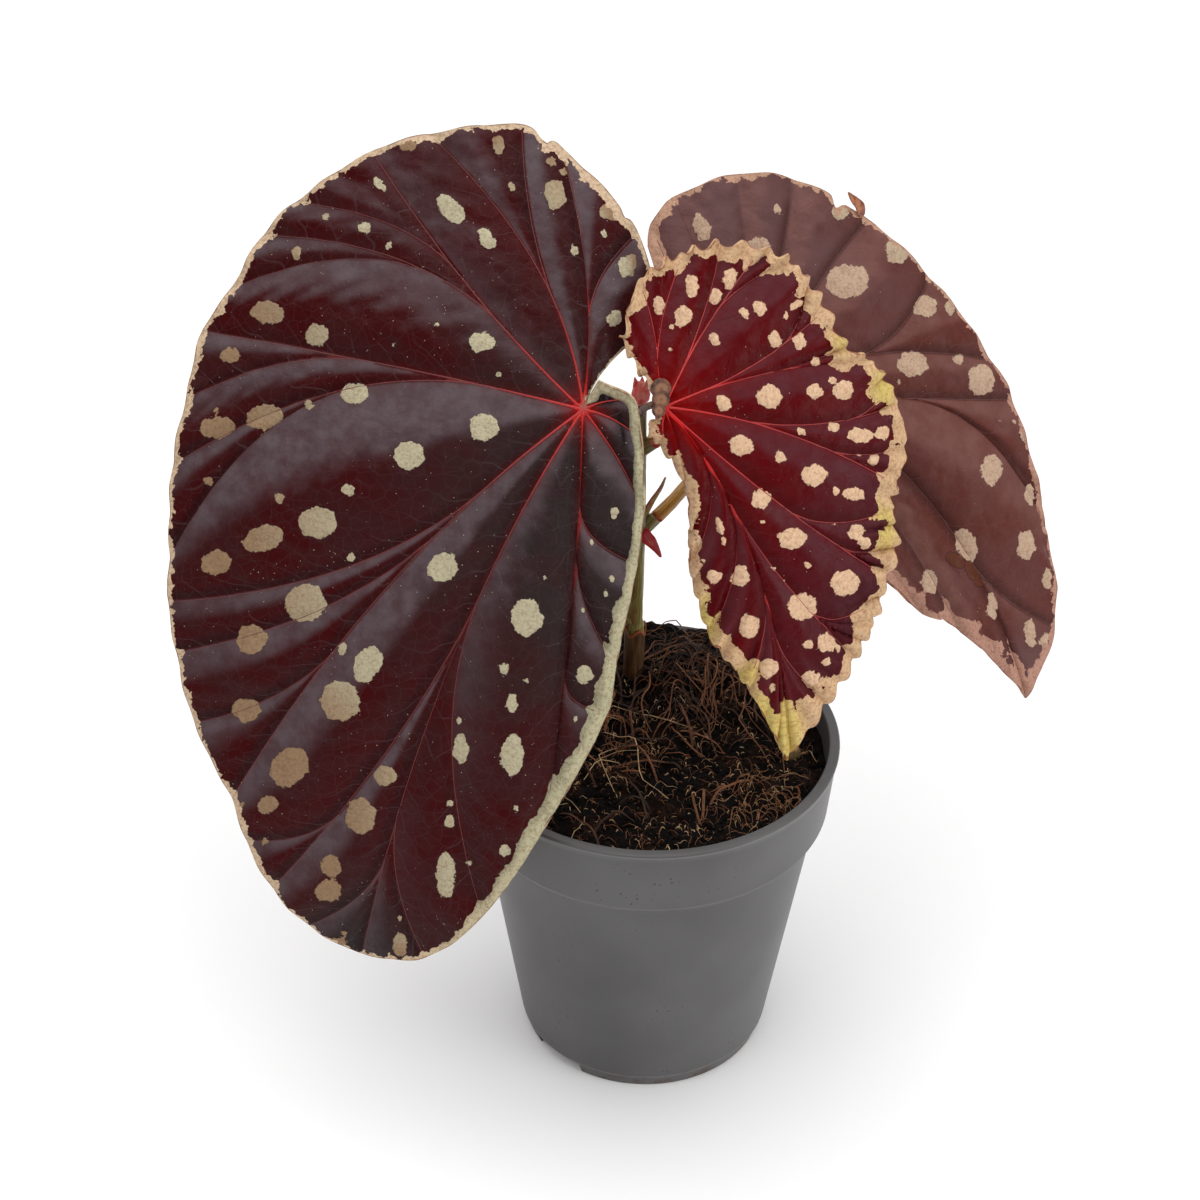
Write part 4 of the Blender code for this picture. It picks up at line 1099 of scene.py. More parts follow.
class Blade:
    """The surface of one leaf, worked out from its veins."""

    def __init__(self, plan: LeafPlan) -> None:
        """Work out the veins' courses and the rows of corners.

        Args:
            plan: The leaf's plan.
        """
        self.plan = plan
        self.veins = plan.veins
        self.index = {vein.name: k for k, vein in enumerate(plan.veins)}
        self.steps = [1.0 - (1.0 - j / plan.rows) ** ROW_CROWDING for j in range(plan.rows + 1)]
        self.tips = np.array([vein.reach * unit(vein.tip) for vein in plan.veins])
        spans = np.linalg.norm(np.diff(self.tips, axis=0), axis=1)
        self.along = np.concatenate(([0.0], np.cumsum(spans)))
        self.splits = [
            min(self.steps, key=lambda t: abs(t - vein.fork_at)) if vein.parent else 0.0
            for vein in plan.veins
        ]
        self.rows = self._fine_rows()
        self.panels = range(len(plan.veins) - 1)
        paths = [[self.path(k, t) for t in self.rows] for k in range(len(plan.veins))]
        self.lines = [np.array([flat for flat, _ in path]) for path in paths]
        self.lifts = [np.array([lift for _, lift in path]) for path in paths]

    def _fine_rows(self) -> list[float]:
        """Shares of the veins' length at which rows of corners lie."""
        reach = max(vein.reach for vein in self.veins)
        rows: list[float] = []
        for low, high in zip(self.steps, self.steps[1:]):
            count = max(1, math.ceil((high - low) * reach / self.plan.grain))
            rows.extend(np.linspace(low, high, count, endpoint=False).tolist())
        return rows + [1.0]

    def path(self, k: int, t: float) -> tuple[Array, float]:
        """A point of vein k in the flat leaf and its lift, at the share t of its length."""
        vein, split = self.veins[k], self.splits[k]
        if not vein.parent:
            start, heading, base = np.zeros(2), unit(vein.start), 0.0
        else:
            parent = self.index[vein.parent]
            if t <= split:
                return self.path(parent, t)
            start, base = self.path(parent, split)
            ahead, _ = self.path(parent, min(1.0, split + 0.02))
            heading = (ahead - start) / np.linalg.norm(ahead - start)
        share = (t - split) / (1.0 - split)
        end = self.tips[k]
        handle = start + heading * VEIN_HANDLE * np.linalg.norm(end - start)
        point = (1 - share) ** 2 * start + 2 * share * (1 - share) * handle + share ** 2 * end
        return point, base + (vein.lift - base) * share ** LIFT_POWER

    def owner(self, k: int, t: float) -> int:
        """The vein whose corner stands for vein k at the share t."""
        while self.veins[k].parent and t <= self.splits[k] + TINY:
            k = self.index[self.veins[k].parent]
        return k

    def slope(self, k: int) -> Array:
        """Direction of the margin at the tip of vein k."""
        if self.veins[k].pointed:
            return np.zeros(2)
        before, after = max(k - 1, 0), min(k + 1, len(self.tips) - 1)
        return (self.tips[after] - self.tips[before]) / (self.along[after] - self.along[before])

    @staticmethod
    def between(values: object, k: int, s: Array | float) -> Array | float:
        """Values at the shares s of the way from vein k to vein k + 1."""
        return (1 - s) * values[k] + s * values[k + 1]

    def margin(self, k: int, s: Array) -> Array:
        """Points of the margin between the tips of veins k and k + 1."""
        length = self.along[k + 1] - self.along[k]
        a, b = self.tips[k], self.tips[k + 1]
        da, db = self.slope(k) * length, self.slope(k + 1) * length
        s = s[:, None]
        return (
            (2 * s ** 3 - 3 * s ** 2 + 1) * a + (s ** 3 - 2 * s ** 2 + s) * da
            + (3 * s ** 2 - 2 * s ** 3) * b + (s ** 3 - s ** 2) * db
        )

    def place(self, flat: Array, height: Array) -> Array:
        """Points of the flat leaf, raised by heights, in the part's frame, in mm."""
        plan = self.plan
        turn, tilt = math.radians(plan.turn), math.radians(plan.tilt)
        right = np.array((math.cos(turn), math.sin(turn), 0.0))
        level = np.array((-math.sin(turn), math.cos(turn), 0.0))
        up = level * math.cos(tilt) + np.array((0.0, 0.0, math.sin(tilt)))
        out = np.cross(right, up)
        crown, bow = np.array(plan.crown), np.array(plan.bow)
        height = height - (((flat - crown) ** 2 - crown ** 2) / (2.0 * bow)).sum(axis=1)
        return np.array(plan.junction) + flat[:, :1] * right + flat[:, 1:] * up + height[:, None] * out

    def out(self) -> Array:
        """The direction that the upper face looks in at the junction."""
        here = np.zeros((1, 2))
        return self.place(here, np.ones(1))[0] - self.place(here, np.zeros(1))[0]

    def opened(self, k: int) -> float:
        """The share at which veins k and k + 1 part."""
        return max((t for t in self.steps if self.owner(k, t) == self.owner(k + 1, t)), default=0.0)

    def points(self, k: int, s: Array, j: int) -> tuple[Array, Array, Array]:
        """Flat places, heights and upward slopes between veins k and k + 1 in row j."""
        plan, t = self.plan, self.rows[j]
        a, b = self.lines[k][j], self.lines[k + 1][j]
        split = self.opened(k)
        opening = max(0.0, (t - split) / (1.0 - split))
        column = s[:, None]
        straight = self.between(self.tips, k, column)
        flat = (1 - column) * a + column * b + opening ** 2 * (self.margin(k, s) - straight)
        width = np.linalg.norm(b - a)
        pleat = plan.pleat * (1.0 - PLEAT_FADE * t ** 4)
        height = (1 - s) * self.lifts[k][j] + s * self.lifts[k + 1][j] + pleat * width * np.sin(np.pi * s)
        lean = -pleat * np.pi * np.cos(np.pi * s) * ((b - a) @ LIGHT_SIDE) / max(width, 1e-6)
        along = self.between(self.along, k, s)
        wave = math.tau * along / plan.ruffle_length
        distance = np.maximum(1.0, np.linalg.norm(flat, axis=1))
        edge = plan.ruffle * t ** RUFFLE_POWER * np.minimum(1.0, distance / RUFFLE_START)
        shrink = 1.0 + RUFFLE_PULL * edge * np.cos(wave) / distance
        for notch in plan.notches:
            middle = self.between(self.along, self.index[notch.vein], notch.share)
            nick = notch.depth * np.exp(-((along - middle) / notch.width) ** 2) * t ** NOTCH_POWER
            shrink = shrink - nick / distance
        height = height + edge * np.sin(wave)
        frill = plan.frill * t ** FRILL_POWER
        turn = FRILL_TURNS * wave + FRILL_DRIFT * np.sin(FRILL_DRIFT_PER_MM * along)
        for k_point, vein in enumerate(self.veins):
            if vein.pointed:
                frill = frill * (1.0 - np.exp(-((along - self.along[k_point]) / CALM_TIP) ** 2))
        height = height + frill * np.sin(turn)
        shrink = shrink + FRILL_PULL * frill * np.cos(turn + FRILL_LAG) / distance
        middle = np.sin(np.pi * s) * min(1.0, width / QUILT_WIDTH) * smooth((t - 0.15) / 0.3)
        inward = distance - 1.1 * width * np.minimum(s, 1.0 - s)
        height = height + plan.quilt * middle * np.sin(math.tau * inward / QUILT_LENGTH + 1.7 * k)
        flat = flat * shrink[:, None]
        for panel, inset, sign in ((0, s, -1.0), (len(self.veins) - 2, 1.0 - s, 1.0)):
            if k == panel and plan.cut_frill and width > 0.0:
                ripple = plan.cut_frill * np.exp(-(inset * width / CUT_DEPTH) ** 2)
                ripple = ripple * smooth((t - 0.12) / 0.3)
                phase = math.tau * distance / CUT_LENGTH
                flat = flat + (ripple * np.cos(phase) * sign)[:, None] * (b - a) / width
                height = height + ripple * np.sin(phase)
        return flat, height, lean

    def wrinkled(self, flat: Array, t: Array) -> Array:
        """Small wrinkles of the blade, in mm."""
        made = np.empty(len(flat))
        for n, (x, y) in enumerate(flat):
            broad = noise.noise(Vector((x * 0.11, y * 0.11, 3.0)))
            small = noise.noise(Vector((x * 0.33, y * 0.33, 9.0)))
            made[n] = broad + 0.35 * small
        return self.plan.wrinkle * made * np.minimum(1.0, 4.0 * t)

    def surface(self) -> None:
        """Work out the corners and triangles of the leaf's middle surface."""
        plan = self.plan
        flats, heights, leans, shares, triangles = [], [], [], [], []
        self.corners: dict[tuple[int, int], int] = {}

        def add(k: int, s: Array, j: int) -> list[int]:
            """Add the corners of one row of a panel."""
            flat, height, lean = self.points(k, s, j)
            first = len(shares)
            flats.extend(flat)
            heights.extend(height)
            leans.extend(lean)
            shares.extend([self.rows[j]] * len(s))
            return list(range(first, first + len(s)))

        def corner(k: int, j: int) -> int:
            """The shared corner on a vein, made when first asked for."""
            key = (0, 0) if j == 0 else (self.owner(k, self.rows[j]), j)
            if key not in self.corners:
                panel = min(k, len(self.veins) - 2)
                self.corners[key] = add(panel, np.array([float(k - panel)]), j)[0]
            return self.corners[key]

        for k in self.panels:
            below = None
            for j in range(len(self.rows)):
                first, last = corner(k, j), corner(k + 1, j)
                row = [(0.0, first)]
                if first != last:
                    gap = np.linalg.norm(self.lines[k][j] - self.lines[k + 1][j])
                    count = max(1, round(gap / plan.grain))
                    inner = np.arange(1, count) / count
                    if count > 1:
                        row.extend(zip(inner.tolist(), add(k, inner, j)))
                    row.append((1.0, last))
                if below is not None:
                    triangles.extend(self.stitch(below, row))
                below = row
        self.flat, self.share = np.array(flats), np.array(shares)
        self.lean = np.array(leans)
        self.height = np.array(heights) + self.wrinkled(self.flat, self.share)
        self.triangles = np.array(triangles)
        self.middle = self.place(self.flat, self.height)

    @staticmethod
    def stitch(below: list, above: list) -> list[tuple[int, int, int]]:
        """Triangles between two rows of (share, corner)."""
        made, i, j = [], 0, 0
        while i < len(below) - 1 or j < len(above) - 1:
            next_below = below[i + 1][0] if i < len(below) - 1 else 2.0
            next_above = above[j + 1][0] if j < len(above) - 1 else 2.0
            if next_above <= next_below:
                made.append((below[i][1], above[j][1], above[j + 1][1]))
                j += 1
            else:
                made.append((below[i][1], above[j][1], below[i + 1][1]))
                i += 1
        return made

    def normals(self) -> Array:
        """The upward direction at each corner of the middle surface."""
        a, b, c = (self.middle[self.triangles[:, i]] for i in range(3))
        across = np.cross(b - a, c - a)
        made = np.zeros_like(self.middle)
        for i in range(3):
            np.add.at(made, self.triangles[:, i], across)
        return made / np.maximum(1e-12, np.linalg.norm(made, axis=1))[:, None]

    def measure_edge(self) -> None:
        """Distance to the margin and the width of the pale margin, at each corner."""
        places, widths, torn = [], [], []
        edges, tears = zip(*((vein.edge, vein.torn) for vein in self.veins))
        for k in self.panels:
            count = max(2, round((self.along[k + 1] - self.along[k]) / 0.2))
            s = np.linspace(0.0, 1.0, count, endpoint=False)
            places.extend(self.points(k, s, len(self.rows) - 1)[0])
            widths.extend(self.between(edges, k, s))
            torn.extend(self.between(tears, k, s))
        for k in (0, len(self.veins) - 1):
            for t in np.linspace(0.12, 1.0, 120):
                places.append(self.path(k, t)[0])
                widths.append(self.veins[k].edge * smooth((t - 0.1) / 0.45))
                torn.append(self.veins[k].torn)
        nearest, self.edge_distance = self.nearest(places)
        self.edge_width = np.maximum(0.05, np.array(widths)[nearest])
        self.edge_torn = np.array(torn)[nearest]

    def nearest(self, places: list) -> tuple[Array, Array]:
        """Number of the nearest of some flat places, and its distance, for each corner."""
        tree = kdtree.KDTree(len(places))
        for n, (x, y) in enumerate(places):
            tree.insert((x, y, 0.0), n)
        tree.balance()
        found = [tree.find((x, y, 0.0)) for x, y in self.flat]
        return np.array([item[1] for item in found]), np.array([item[2] for item in found])

    def measure_veins(self) -> None:
        """Distance to the nearest vein and that vein's strength, at each corner."""
        steps = [(k, t) for k in self.panels[1:] for t in np.linspace(self.splits[k], 1.0, 400)]
        strengths = np.array([self.strength(k, t) for k, t in steps])
        nearest, self.vein_distance = self.nearest([self.path(k, t)[0] for k, t in steps])
        self.vein_strength = strengths[nearest]

    def strength(self, k: int, t: float) -> float:
        """How stout vein k is at the share t, from 1 at the junction down to 0."""
        split = self.splits[k]
        base = 1.0
        if self.veins[k].parent:
            base = 0.75 * self.strength(self.index[self.veins[k].parent], split)
        return base * (1.0 - 0.85 * (t - split) / (1.0 - split))

    def faces(self) -> tuple[Array, Array]:
        """Corners of the upper and the lower face, in metres, with the spots domed."""
        out = self.normals()
        self.pixels = VIEW.project(self.middle)
        self.spot_distance = nearest_spot(self.plan.spots, self.pixels)
        dome = self.plan.dome * smooth(-self.spot_distance)[:, None]
        fade = smooth(self.edge_distance / 2.5)[:, None]
        roll = self.plan.bead * smooth((self.edge_width - 1.9) / 1.2)
        bead = roll * np.sin(np.pi * np.clip(self.edge_distance / self.edge_width, 0.0, 1.0))
        half = (MARGIN_HALF + (BLADE_HALF - MARGIN_HALF) * fade) + bead[:, None]
        self.out_directions = out
        return (self.middle + out * (dome + half)) * MM, (self.middle + out * (dome - half)) * MM


@dataclass(frozen=True)
class LeafSkin:
    """The colours of one leaf, with a painted sheen colour for slopes that face up and a painted shadow
    colour for the valleys beside the veins.
    """

    slot: str
    # Painted shadow colour of the valleys beside the veins.
    shade: Colour
    deep: Colour
    dark: Colour
    # Painted sheen colour, laid where the pleats face up.
    painted_sheen: Colour
    glow: Colour
    vein: Colour
    vein_near: Colour
    spot: Colour
    spot_far: Colour
    margin: Colour
    margin_far: Colour
    brink: Colour
    beneath: Colour
    rib: Colour
    glow_reach: float
    halo: float
    painted_sheen_share: float
    dark_centre: tuple[float, float]
    dark_radius: float
    roughness: float = 0.36
    gloss: float = 0.3


SKIN_FRONT = LeafSkin(
    slot="leaf_front_skin", shade=tone(26, 7, 8), deep=tone(60, 7, 9), dark=tone(46, 36, 36),
    painted_sheen=tone(92, 79, 83), glow=tone(120, 10, 12), vein=tone(98, 36, 34), vein_near=tone(186, 38, 36),
    spot=tone(148, 121, 93), spot_far=tone(186, 177, 148), margin=tone(206, 180, 150),
    margin_far=tone(182, 176, 144), brink=tone(112, 66, 40), beneath=tone(104, 20, 24),
    rib=tone(160, 84, 70), glow_reach=3.6, halo=0.2, painted_sheen_share=0.9, dark_centre=(14.0, -26.0),
    dark_radius=74.0, gloss=0.08,
)

SKIN_MIDDLE = LeafSkin(
    slot="leaf_middle_skin", shade=tone(60, 3, 5), deep=tone(86, 5, 9), dark=tone(66, 20, 28),
    painted_sheen=tone(86, 44, 50), glow=tone(118, 2, 3), vein=tone(150, 44, 44), vein_near=tone(206, 40, 40),
    spot=tone(222, 186, 152), spot_far=tone(228, 202, 152), margin=tone(206, 172, 134),
    margin_far=tone(206, 184, 108), brink=tone(134, 66, 40), beneath=tone(124, 18, 22),
    rib=tone(180, 80, 68), glow_reach=11.0, halo=0.4, painted_sheen_share=0.7, dark_centre=(60.0, -50.0),
    dark_radius=58.0, gloss=0.07,
)

SKIN_BACK = LeafSkin(
    slot="leaf_back_skin", shade=tone(60, 30, 27), deep=tone(90, 44, 37), dark=tone(96, 68, 68),
    painted_sheen=tone(118, 80, 74), glow=tone(92, 36, 30), vein=tone(76, 42, 38), vein_near=tone(112, 50, 42),
    spot=tone(184, 164, 138), spot_far=tone(188, 160, 136), margin=tone(186, 148, 124),
    margin_far=tone(176, 134, 116), brink=tone(122, 72, 56), beneath=tone(118, 44, 40),
    rib=tone(150, 84, 70), glow_reach=14.0, halo=0.3, painted_sheen_share=0.75, dark_centre=(-5.0, 40.0),
    dark_radius=60.0, roughness=0.45, gloss=0.09,
)


@dataclass
class LeafMaterial:
    """Makes the material of one leaf's blade."""

    skin: LeafSkin
    effects: Effects
    blemished: bool

    def build(self) -> Material:
        """The blade's material."""
        skin = self.skin
        kit = Paint(skin.slot + "_blade", skin.roughness, skin.gloss)
        flat, vein = kit.attribute("flat_mm", "Vector"), kit.attribute("vein_mm")
        edge, spot_away, far, torn = map(kit.attribute, ("edge_mm", "spot_mm", "far", "torn"))
        net = self.effects.network.use(kit, Flat=flat, Vein_distance=vein)
        spotted = self.effects.ragged.use(kit, Vector=flat, Distance=spot_away, Width=0.0, Tear=0.55)
        drift = kit.step(kit.grain(flat, 0.13), 0.32, 0.68, -0.4, 0.45)
        swing = kit.times(kit.plus(drift, kit.step(vein, 0.0, 1.5, 0.7, 0.0)), torn)
        width = kit.times(kit.attribute("edge_width"), kit.plus(swing, 1.0))
        tear = kit.times(torn, 0.85)
        rim = self.effects.ragged.use(kit, Vector=flat, Distance=edge, Width=width, Tear=tear)["Mask"]
        crease = kit.grain(flat, 1.3, 4.0, 0.65)
        # Painted shade in creases: thin lines of the brink colour over the pale spots and margin.
        fold = kit.step(kit.apart(kit.grain(flat, 0.55), 0.5), 0.0, 0.03, 0.35, 0.0)
        pales = []
        for near, other, low, share in (
            (skin.spot, skin.spot_far, 0.40, 0.35), (skin.margin, skin.margin_far, 0.42, 0.5)
        ):
            pale = kit.mix(kit.step(crease, low, 0.75, 0.0, share), kit.mix(far, near, other), skin.brink)
            pales.append(kit.mix(fold, pale, skin.brink))
        # Painted shade: the inner side of the smooth rolled margin is darkened towards the dark colour, so
        # the roll looks round.
        inner = kit.step(kit.math("DIVIDE", edge, width), 0.5, 1.0, 0.0, 0.6)
        margin_with_painted_shade = kit.mix(kit.times(inner, kit.less(1.0, torn, clamp=True)), pales[1], skin.dark)
        colour = kit.mix(spotted["Mask"], self._body(kit, flat, vein, net), pales[0])
        colour = kit.mix(kit.step(spotted["Apart"], 0.0, 0.16, 0.5, 0.0), colour, skin.dark)
        colour = kit.mix(rim, colour, margin_with_painted_shade)
        patchy = kit.step(kit.grain(flat, 0.25), 0.35, 0.6)
        colour = kit.mix(kit.times(kit.step(edge, 0.10, 0.30, 0.85, 0.0), patchy), colour, skin.brink)
        if self.blemished:
            colour = self._blemish(kit, flat, colour)
        below = self._underside(kit, flat, vein, spotted["Mask"], rim)
        colour = kit.mix(kit.attribute("upper"), below, colour)
        rough = kit.plus(kit.step(kit.grain(flat, 0.6, 3.0), 0.3, 0.7, -0.07, 0.07), skin.roughness)
        pale = kit.math("MAXIMUM", spotted["Mask"], rim)
        kit.feed(kit.shader.inputs["Roughness"], kit.plus(rough, kit.times(pale, 0.1)))
        lumps = kit.plus(net["Swelling"], kit.times(net["Branches"], -0.35))
        inside = kit.step(spot_away, -0.3, 0.1, 1.0, 0.0)
        return kit.finish(colour, kit.plus(lumps, kit.times(inside, crease)), 0.6, 0.35 * MM)

    def _body(self, kit: NodeKit, flat: Socket, vein: Socket, net: dict[str, Socket]) -> Socket:
        """The colour of the blade between its spots, on its upper face."""
        skin, stout, lit = self.skin, kit.attribute("vein_strength"), kit.attribute("lit")
        # The darker charcoal round dark_centre is partly the leaf's own colour and partly painted shade; the
        # tip darkens too.
        cloud = kit.step(kit.grain(flat, 0.07, 3.0), 0.35, 0.65)
        shade = kit.plus(kit.attribute("dark"), kit.times(cloud, 0.25), clamp=True)
        colour = kit.mix(shade, skin.deep, skin.dark)
        # Painted sheen: the sheen colour laid in patches on the pleat slopes that face up.
        patches = kit.step(kit.grain(flat, 0.2, 4.0, 0.6), 0.3, 0.7, 0.55, 1.0)
        painted_sheen = kit.times(kit.step(lit, -0.1, 1.0, 0.0, skin.painted_sheen_share), patches)
        colour = kit.mix(painted_sheen, colour, skin.painted_sheen)
        # Painted shadow: the slopes that face down beside each vein are darkened to the shadow colour.
        painted_valley_shadow = kit.times(kit.step(lit, -0.8, 0.0, 0.75, 0.0), kit.step(vein, 0.2, 3.4, 1.0, 0.0))
        colour = kit.mix(painted_valley_shadow, colour, skin.shade)
        halo = kit.times(kit.times(kit.step(vein, 0.0, 2.2, 1.0, 0.0), stout), skin.halo)
        colour = kit.mix(kit.plus(halo, kit.attribute("glow"), clamp=True), colour, skin.glow)
        # Painted shadow: near-black in the hollow under the front leaf's curled lobe.
        hollow = kit.step(kit.attribute("painted_shadow_mm"), -1.3, 1.0, 0.94, 0.0)
        colour = kit.mix(hollow, colour, tone(14, 9, 9))
        # The painted sheen colour also lightens the side veins and the fine net.
        colour = kit.mix(kit.times(net["Branches"], 0.22), colour, skin.painted_sheen)
        colour = kit.mix(kit.times(net["Net"], 0.10), colour, skin.painted_sheen)
        line = kit.step(kit.less(vein, kit.times(stout, 0.28)), -0.03, 0.10, 0.9, 0.0)
        line = kit.times(line, kit.step(stout, 0.02, 0.5, 0.4, 1.0))
        return kit.mix(line, colour, kit.mix(kit.attribute("near"), skin.vein, skin.vein_near))

    def _blemish(self, kit: NodeKit, flat: Socket, colour: Socket) -> Socket:
        """Brown dead patches with a dark outline."""
        away = kit.attribute("blemish_mm")
        for width, share, brown in ((0.22, 0.7, tone(44, 18, 12)), (0.0, 0.8, tone(92, 48, 30))):
            patch = self.effects.ragged.use(kit, Vector=flat, Distance=away, Width=width, Tear=0.3)["Mask"]
            colour = kit.mix(kit.times(patch, share), colour, brown)
        return colour

    def _underside(self, kit: NodeKit, flat: Socket, vein: Socket, spots: Socket, rim: Socket) -> Socket:
        """The colour of the lower face: red, with paler ribs and faint spots."""
        skin = self.skin
        cloud = kit.step(kit.grain(flat, 0.12, 3.0), 0.3, 0.7)
        colour = kit.mix(kit.times(cloud, 0.5), skin.beneath, skin.glow)
        halo = kit.times(kit.step(vein, 0.2, 2.2, 0.5, 0.0), kit.attribute("vein_strength"))
        colour = kit.mix(kit.times(spots, 0.4), kit.mix(halo, colour, skin.rib), skin.spot)
        return kit.mix(kit.times(rim, 0.85), colour, skin.margin)


VEIN_END = 0.07
RIB_END = 0.18
VEIN_TAPER = 1.3
VEIN_SINK = -0.45
RIB_SINK = 0.25
LEAN_FULL = 0.26
STEEP_FULL = 0.22
FLAP_STEPS = 20


@dataclass
class LeafPiece:
    """One finished leaf: blade, raised veins, ribs, warts and a torn flap."""

    plan: LeafPlan
    skin: LeafSkin
    effects: Effects
    tubes: LineTubes
    scatter: Scatter

    def build(self) -> list[Piece]:
        """Make the leaf's pieces, riding on the root."""
        plan = self.plan
        blade = Blade(plan)
        blade.surface()
        blade.measure_edge()
        blade.measure_veins()
        upper, lower = blade.faces()
        body = self._body(blade, upper, lower)
        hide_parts(plan.name)
        made = [body, self._lines(blade, upper, Side.UPPER), self._lines(blade, lower, Side.LOWER)]
        if plan.specks:
            made.append(self._specks(body))
        if plan.flap:
            made.append(self._flap(blade))
        for piece in made:
            hold_in_box(piece)
            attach(piece, ROOT)
        return made

    def _body(self, blade: Blade, upper: Array, lower: Array) -> Piece:
        """The closed blade with what its material reads."""
        plan, skin, flat, count = self.plan, self.skin, blade.flat, len(upper)
        triangles = blade.triangles.tolist()
        faces = triangles + (blade.triangles[:, ::-1] + count).tolist()
        edges = {(t[i], t[(i + 1) % 3]) for t in triangles for i in range(3)}
        for a, b in sorted(edges):
            if (b, a) not in edges:
                faces += [(b, a, a + count), (b, a + count, b + count)]
        finish = LeafMaterial(skin, self.effects, bool(plan.blemishes)).build()
        made = new_object(plan.name + "_blade", np.vstack((upper, lower)), faces, finish)
        made.data.set_sharp_from_angle(angle=math.radians(70.0))
        apart = np.linalg.norm(flat, axis=1)
        away = np.linalg.norm(flat - np.array(skin.dark_centre), axis=1)
        values = {
            "vein_mm": blade.vein_distance,
            "vein_strength": blade.vein_strength,
            "edge_mm": blade.edge_distance,
            "edge_width": blade.edge_width,
            "torn": blade.edge_torn,
            "spot_mm": blade.spot_distance,
            "blemish_mm": nearest_spot(plan.blemishes, blade.pixels),
            "painted_shadow_mm": nearest_spot(plan.painted_shadows, blade.pixels),
            "dark": np.maximum(1.0 - smooth(away / skin.dark_radius), self._tip_shade(blade)),
            "glow": np.exp(-(apart / skin.glow_reach) ** 1.5),
            "near": np.exp(-(apart / NEAR_REACH) ** 2),
            "lit": self._lit(blade),
            "far": self._far(blade),
        }
        for name, one in values.items():
            store(made.data, name, np.concatenate((one, one)))
        both = np.vstack((flat, flat))
        store(made.data, "flat_mm", np.column_stack((both, np.zeros(len(both)))), "FLOAT_VECTOR")
        for name in ("upper", "strew"):
            store(made.data, name, np.repeat((1.0, 0.0), count))
        return made

    def _lit(self, blade: Blade) -> Array:
        """How much more a place faces upwards than the blade does, about -1 to 1, which sets the painted
        sheen and the painted valley shadow.
        """
        steep = np.maximum((blade.out_directions - blade.out())[:, 2], -0.06)
        return np.clip(1.1 * blade.lean / LEAN_FULL + 0.35 * steep / STEEP_FULL, -1.0, 1.0)

    def _tip_shade(self, blade: Blade) -> Array:
        """Share of the dark colour towards the leaf's tip."""
        tip = blade.tips[blade.index["midrib"]]
        return 0.8 - 0.8 * smooth(np.linalg.norm(blade.flat - tip, axis=1) / TIP_SHADE)

    def _far(self, blade: Blade) -> Array:
        """Share of the second pair of pale colours: right side, or the tip."""
        if self.plan.tints:
            return 1.0 - smooth(0.5 + nearest_spot(self.plan.tints, blade.pixels) / 5.0)
        x, y = blade.flat.T
        crown = smooth(1.5 - np.hypot(x + 8.0, y - 62.0) / 20.0)
        inner = smooth((x + 76.0 - 22.0 * smooth((-y - 50.0) / 30.0)) / 34.0) * (1.0 - 0.7 * crown)
        outer = smooth((x + 45.0) / 40.0) * smooth((22.0 - y) / 25.0)
        return outer + (inner - outer) * smooth((blade.edge_distance - 2.5) / 3.0)

    def _lines(self, blade: Blade, surface: Array, side: Side) -> Piece:
        """Raised veins on the upper face, or ribs on the lower one."""
        plan, skin, lines = self.plan, self.skin, []
        if side is Side.UPPER:
            name, start, end, sink = plan.name + "_veins", plan.vein_radius, VEIN_END, VEIN_SINK
            stout_tone, thin_tone = skin.vein_near, skin.vein
        else:
            name, start, end, sink = plan.name + "_ribs", plan.rib_radius, RIB_END, RIB_SINK
            stout_tone, thin_tone = skin.rib, skin.beneath
        for k in blade.panels[1:]:
            line = []
            for j, t in enumerate(blade.rows):
                if t < blade.splits[k] - TINY or j % 2:
                    continue
                corner = blade.corners[(0, 0) if j == 0 else (blade.owner(k, t), j)]
                if j and blade.edge_distance[corner] < blade.edge_width[corner] * 0.9:
                    continue
                stout = blade.strength(k, max(t, blade.splits[k]))
                radius = (end + (start - end) * stout ** VEIN_TAPER) * MM
                near = math.exp(-(np.linalg.norm(blade.flat[corner]) / NEAR_REACH) ** 2)
                place = surface[corner] + blade.out_directions[corner] * side.value * radius * sink
                line.append((place, radius, near if side is Side.UPPER else stout))
            if len(line) > 3:
                lines.append(line)
        kit = Paint(name, 0.4)
        colour = kit.mix(kit.attribute("tone"), thin_tone, stout_tone)
        spotty = kit.step(kit.noise(kit.place(), 900.0), 0.4, 0.7, 0.0, 0.3)
        return self.tubes.build(name, lines, kit.finish(kit.mix(spotty, colour, thin_tone)), 8)

    def _flap(self, blade: Blade) -> Piece:
        """The dry brown flap that curls off a torn margin."""
        name, rows = self.plan.name + "_flap", np.array(self.plan.flap)
        made = mottled(name, 0.5, (700.0, 3.0), (0.35, 0.65), (tone(168, 104, 70), tone(110, 58, 38)))
        corner = int(np.argmin(np.linalg.norm(blade.pixels - rows[0, :2], axis=1)))
        out, root = blade.out_directions[corner], blade.middle[corner]
        points = [Vector(VIEW.reach(x, y, root, out) + out * lift) * MM for x, y, lift, _ in rows]
        line, radii = smooth_line(points, FLAP_STEPS), spread(rows[:, 3] * MM, FLAP_STEPS)
        return Tube(line, radii, 16, 0.35, lump=0.15, seed=8.0).build(name, made)

    def _specks(self, body: Piece) -> Piece:
        """Tiny pale warts of the upper face, whose pale colour is partly a painted glint."""
        name = self.plan.name
        colours = tone(196, 180, 160), self.skin.painted_sheen
        made = mottled(name + "_speck", 0.3, (60.0, 1.0), (0.4, 0.6), colours)
        wart = lump_body("wart", 0.1 * MM, 0.3, 4.0, 1)
        return self.scatter.build(
            name + "_warts", body, [wart], Density=self.plan.specks, Smallest=0.45, Largest=1.15, Seed=5,
            Finish=made)


# Pot

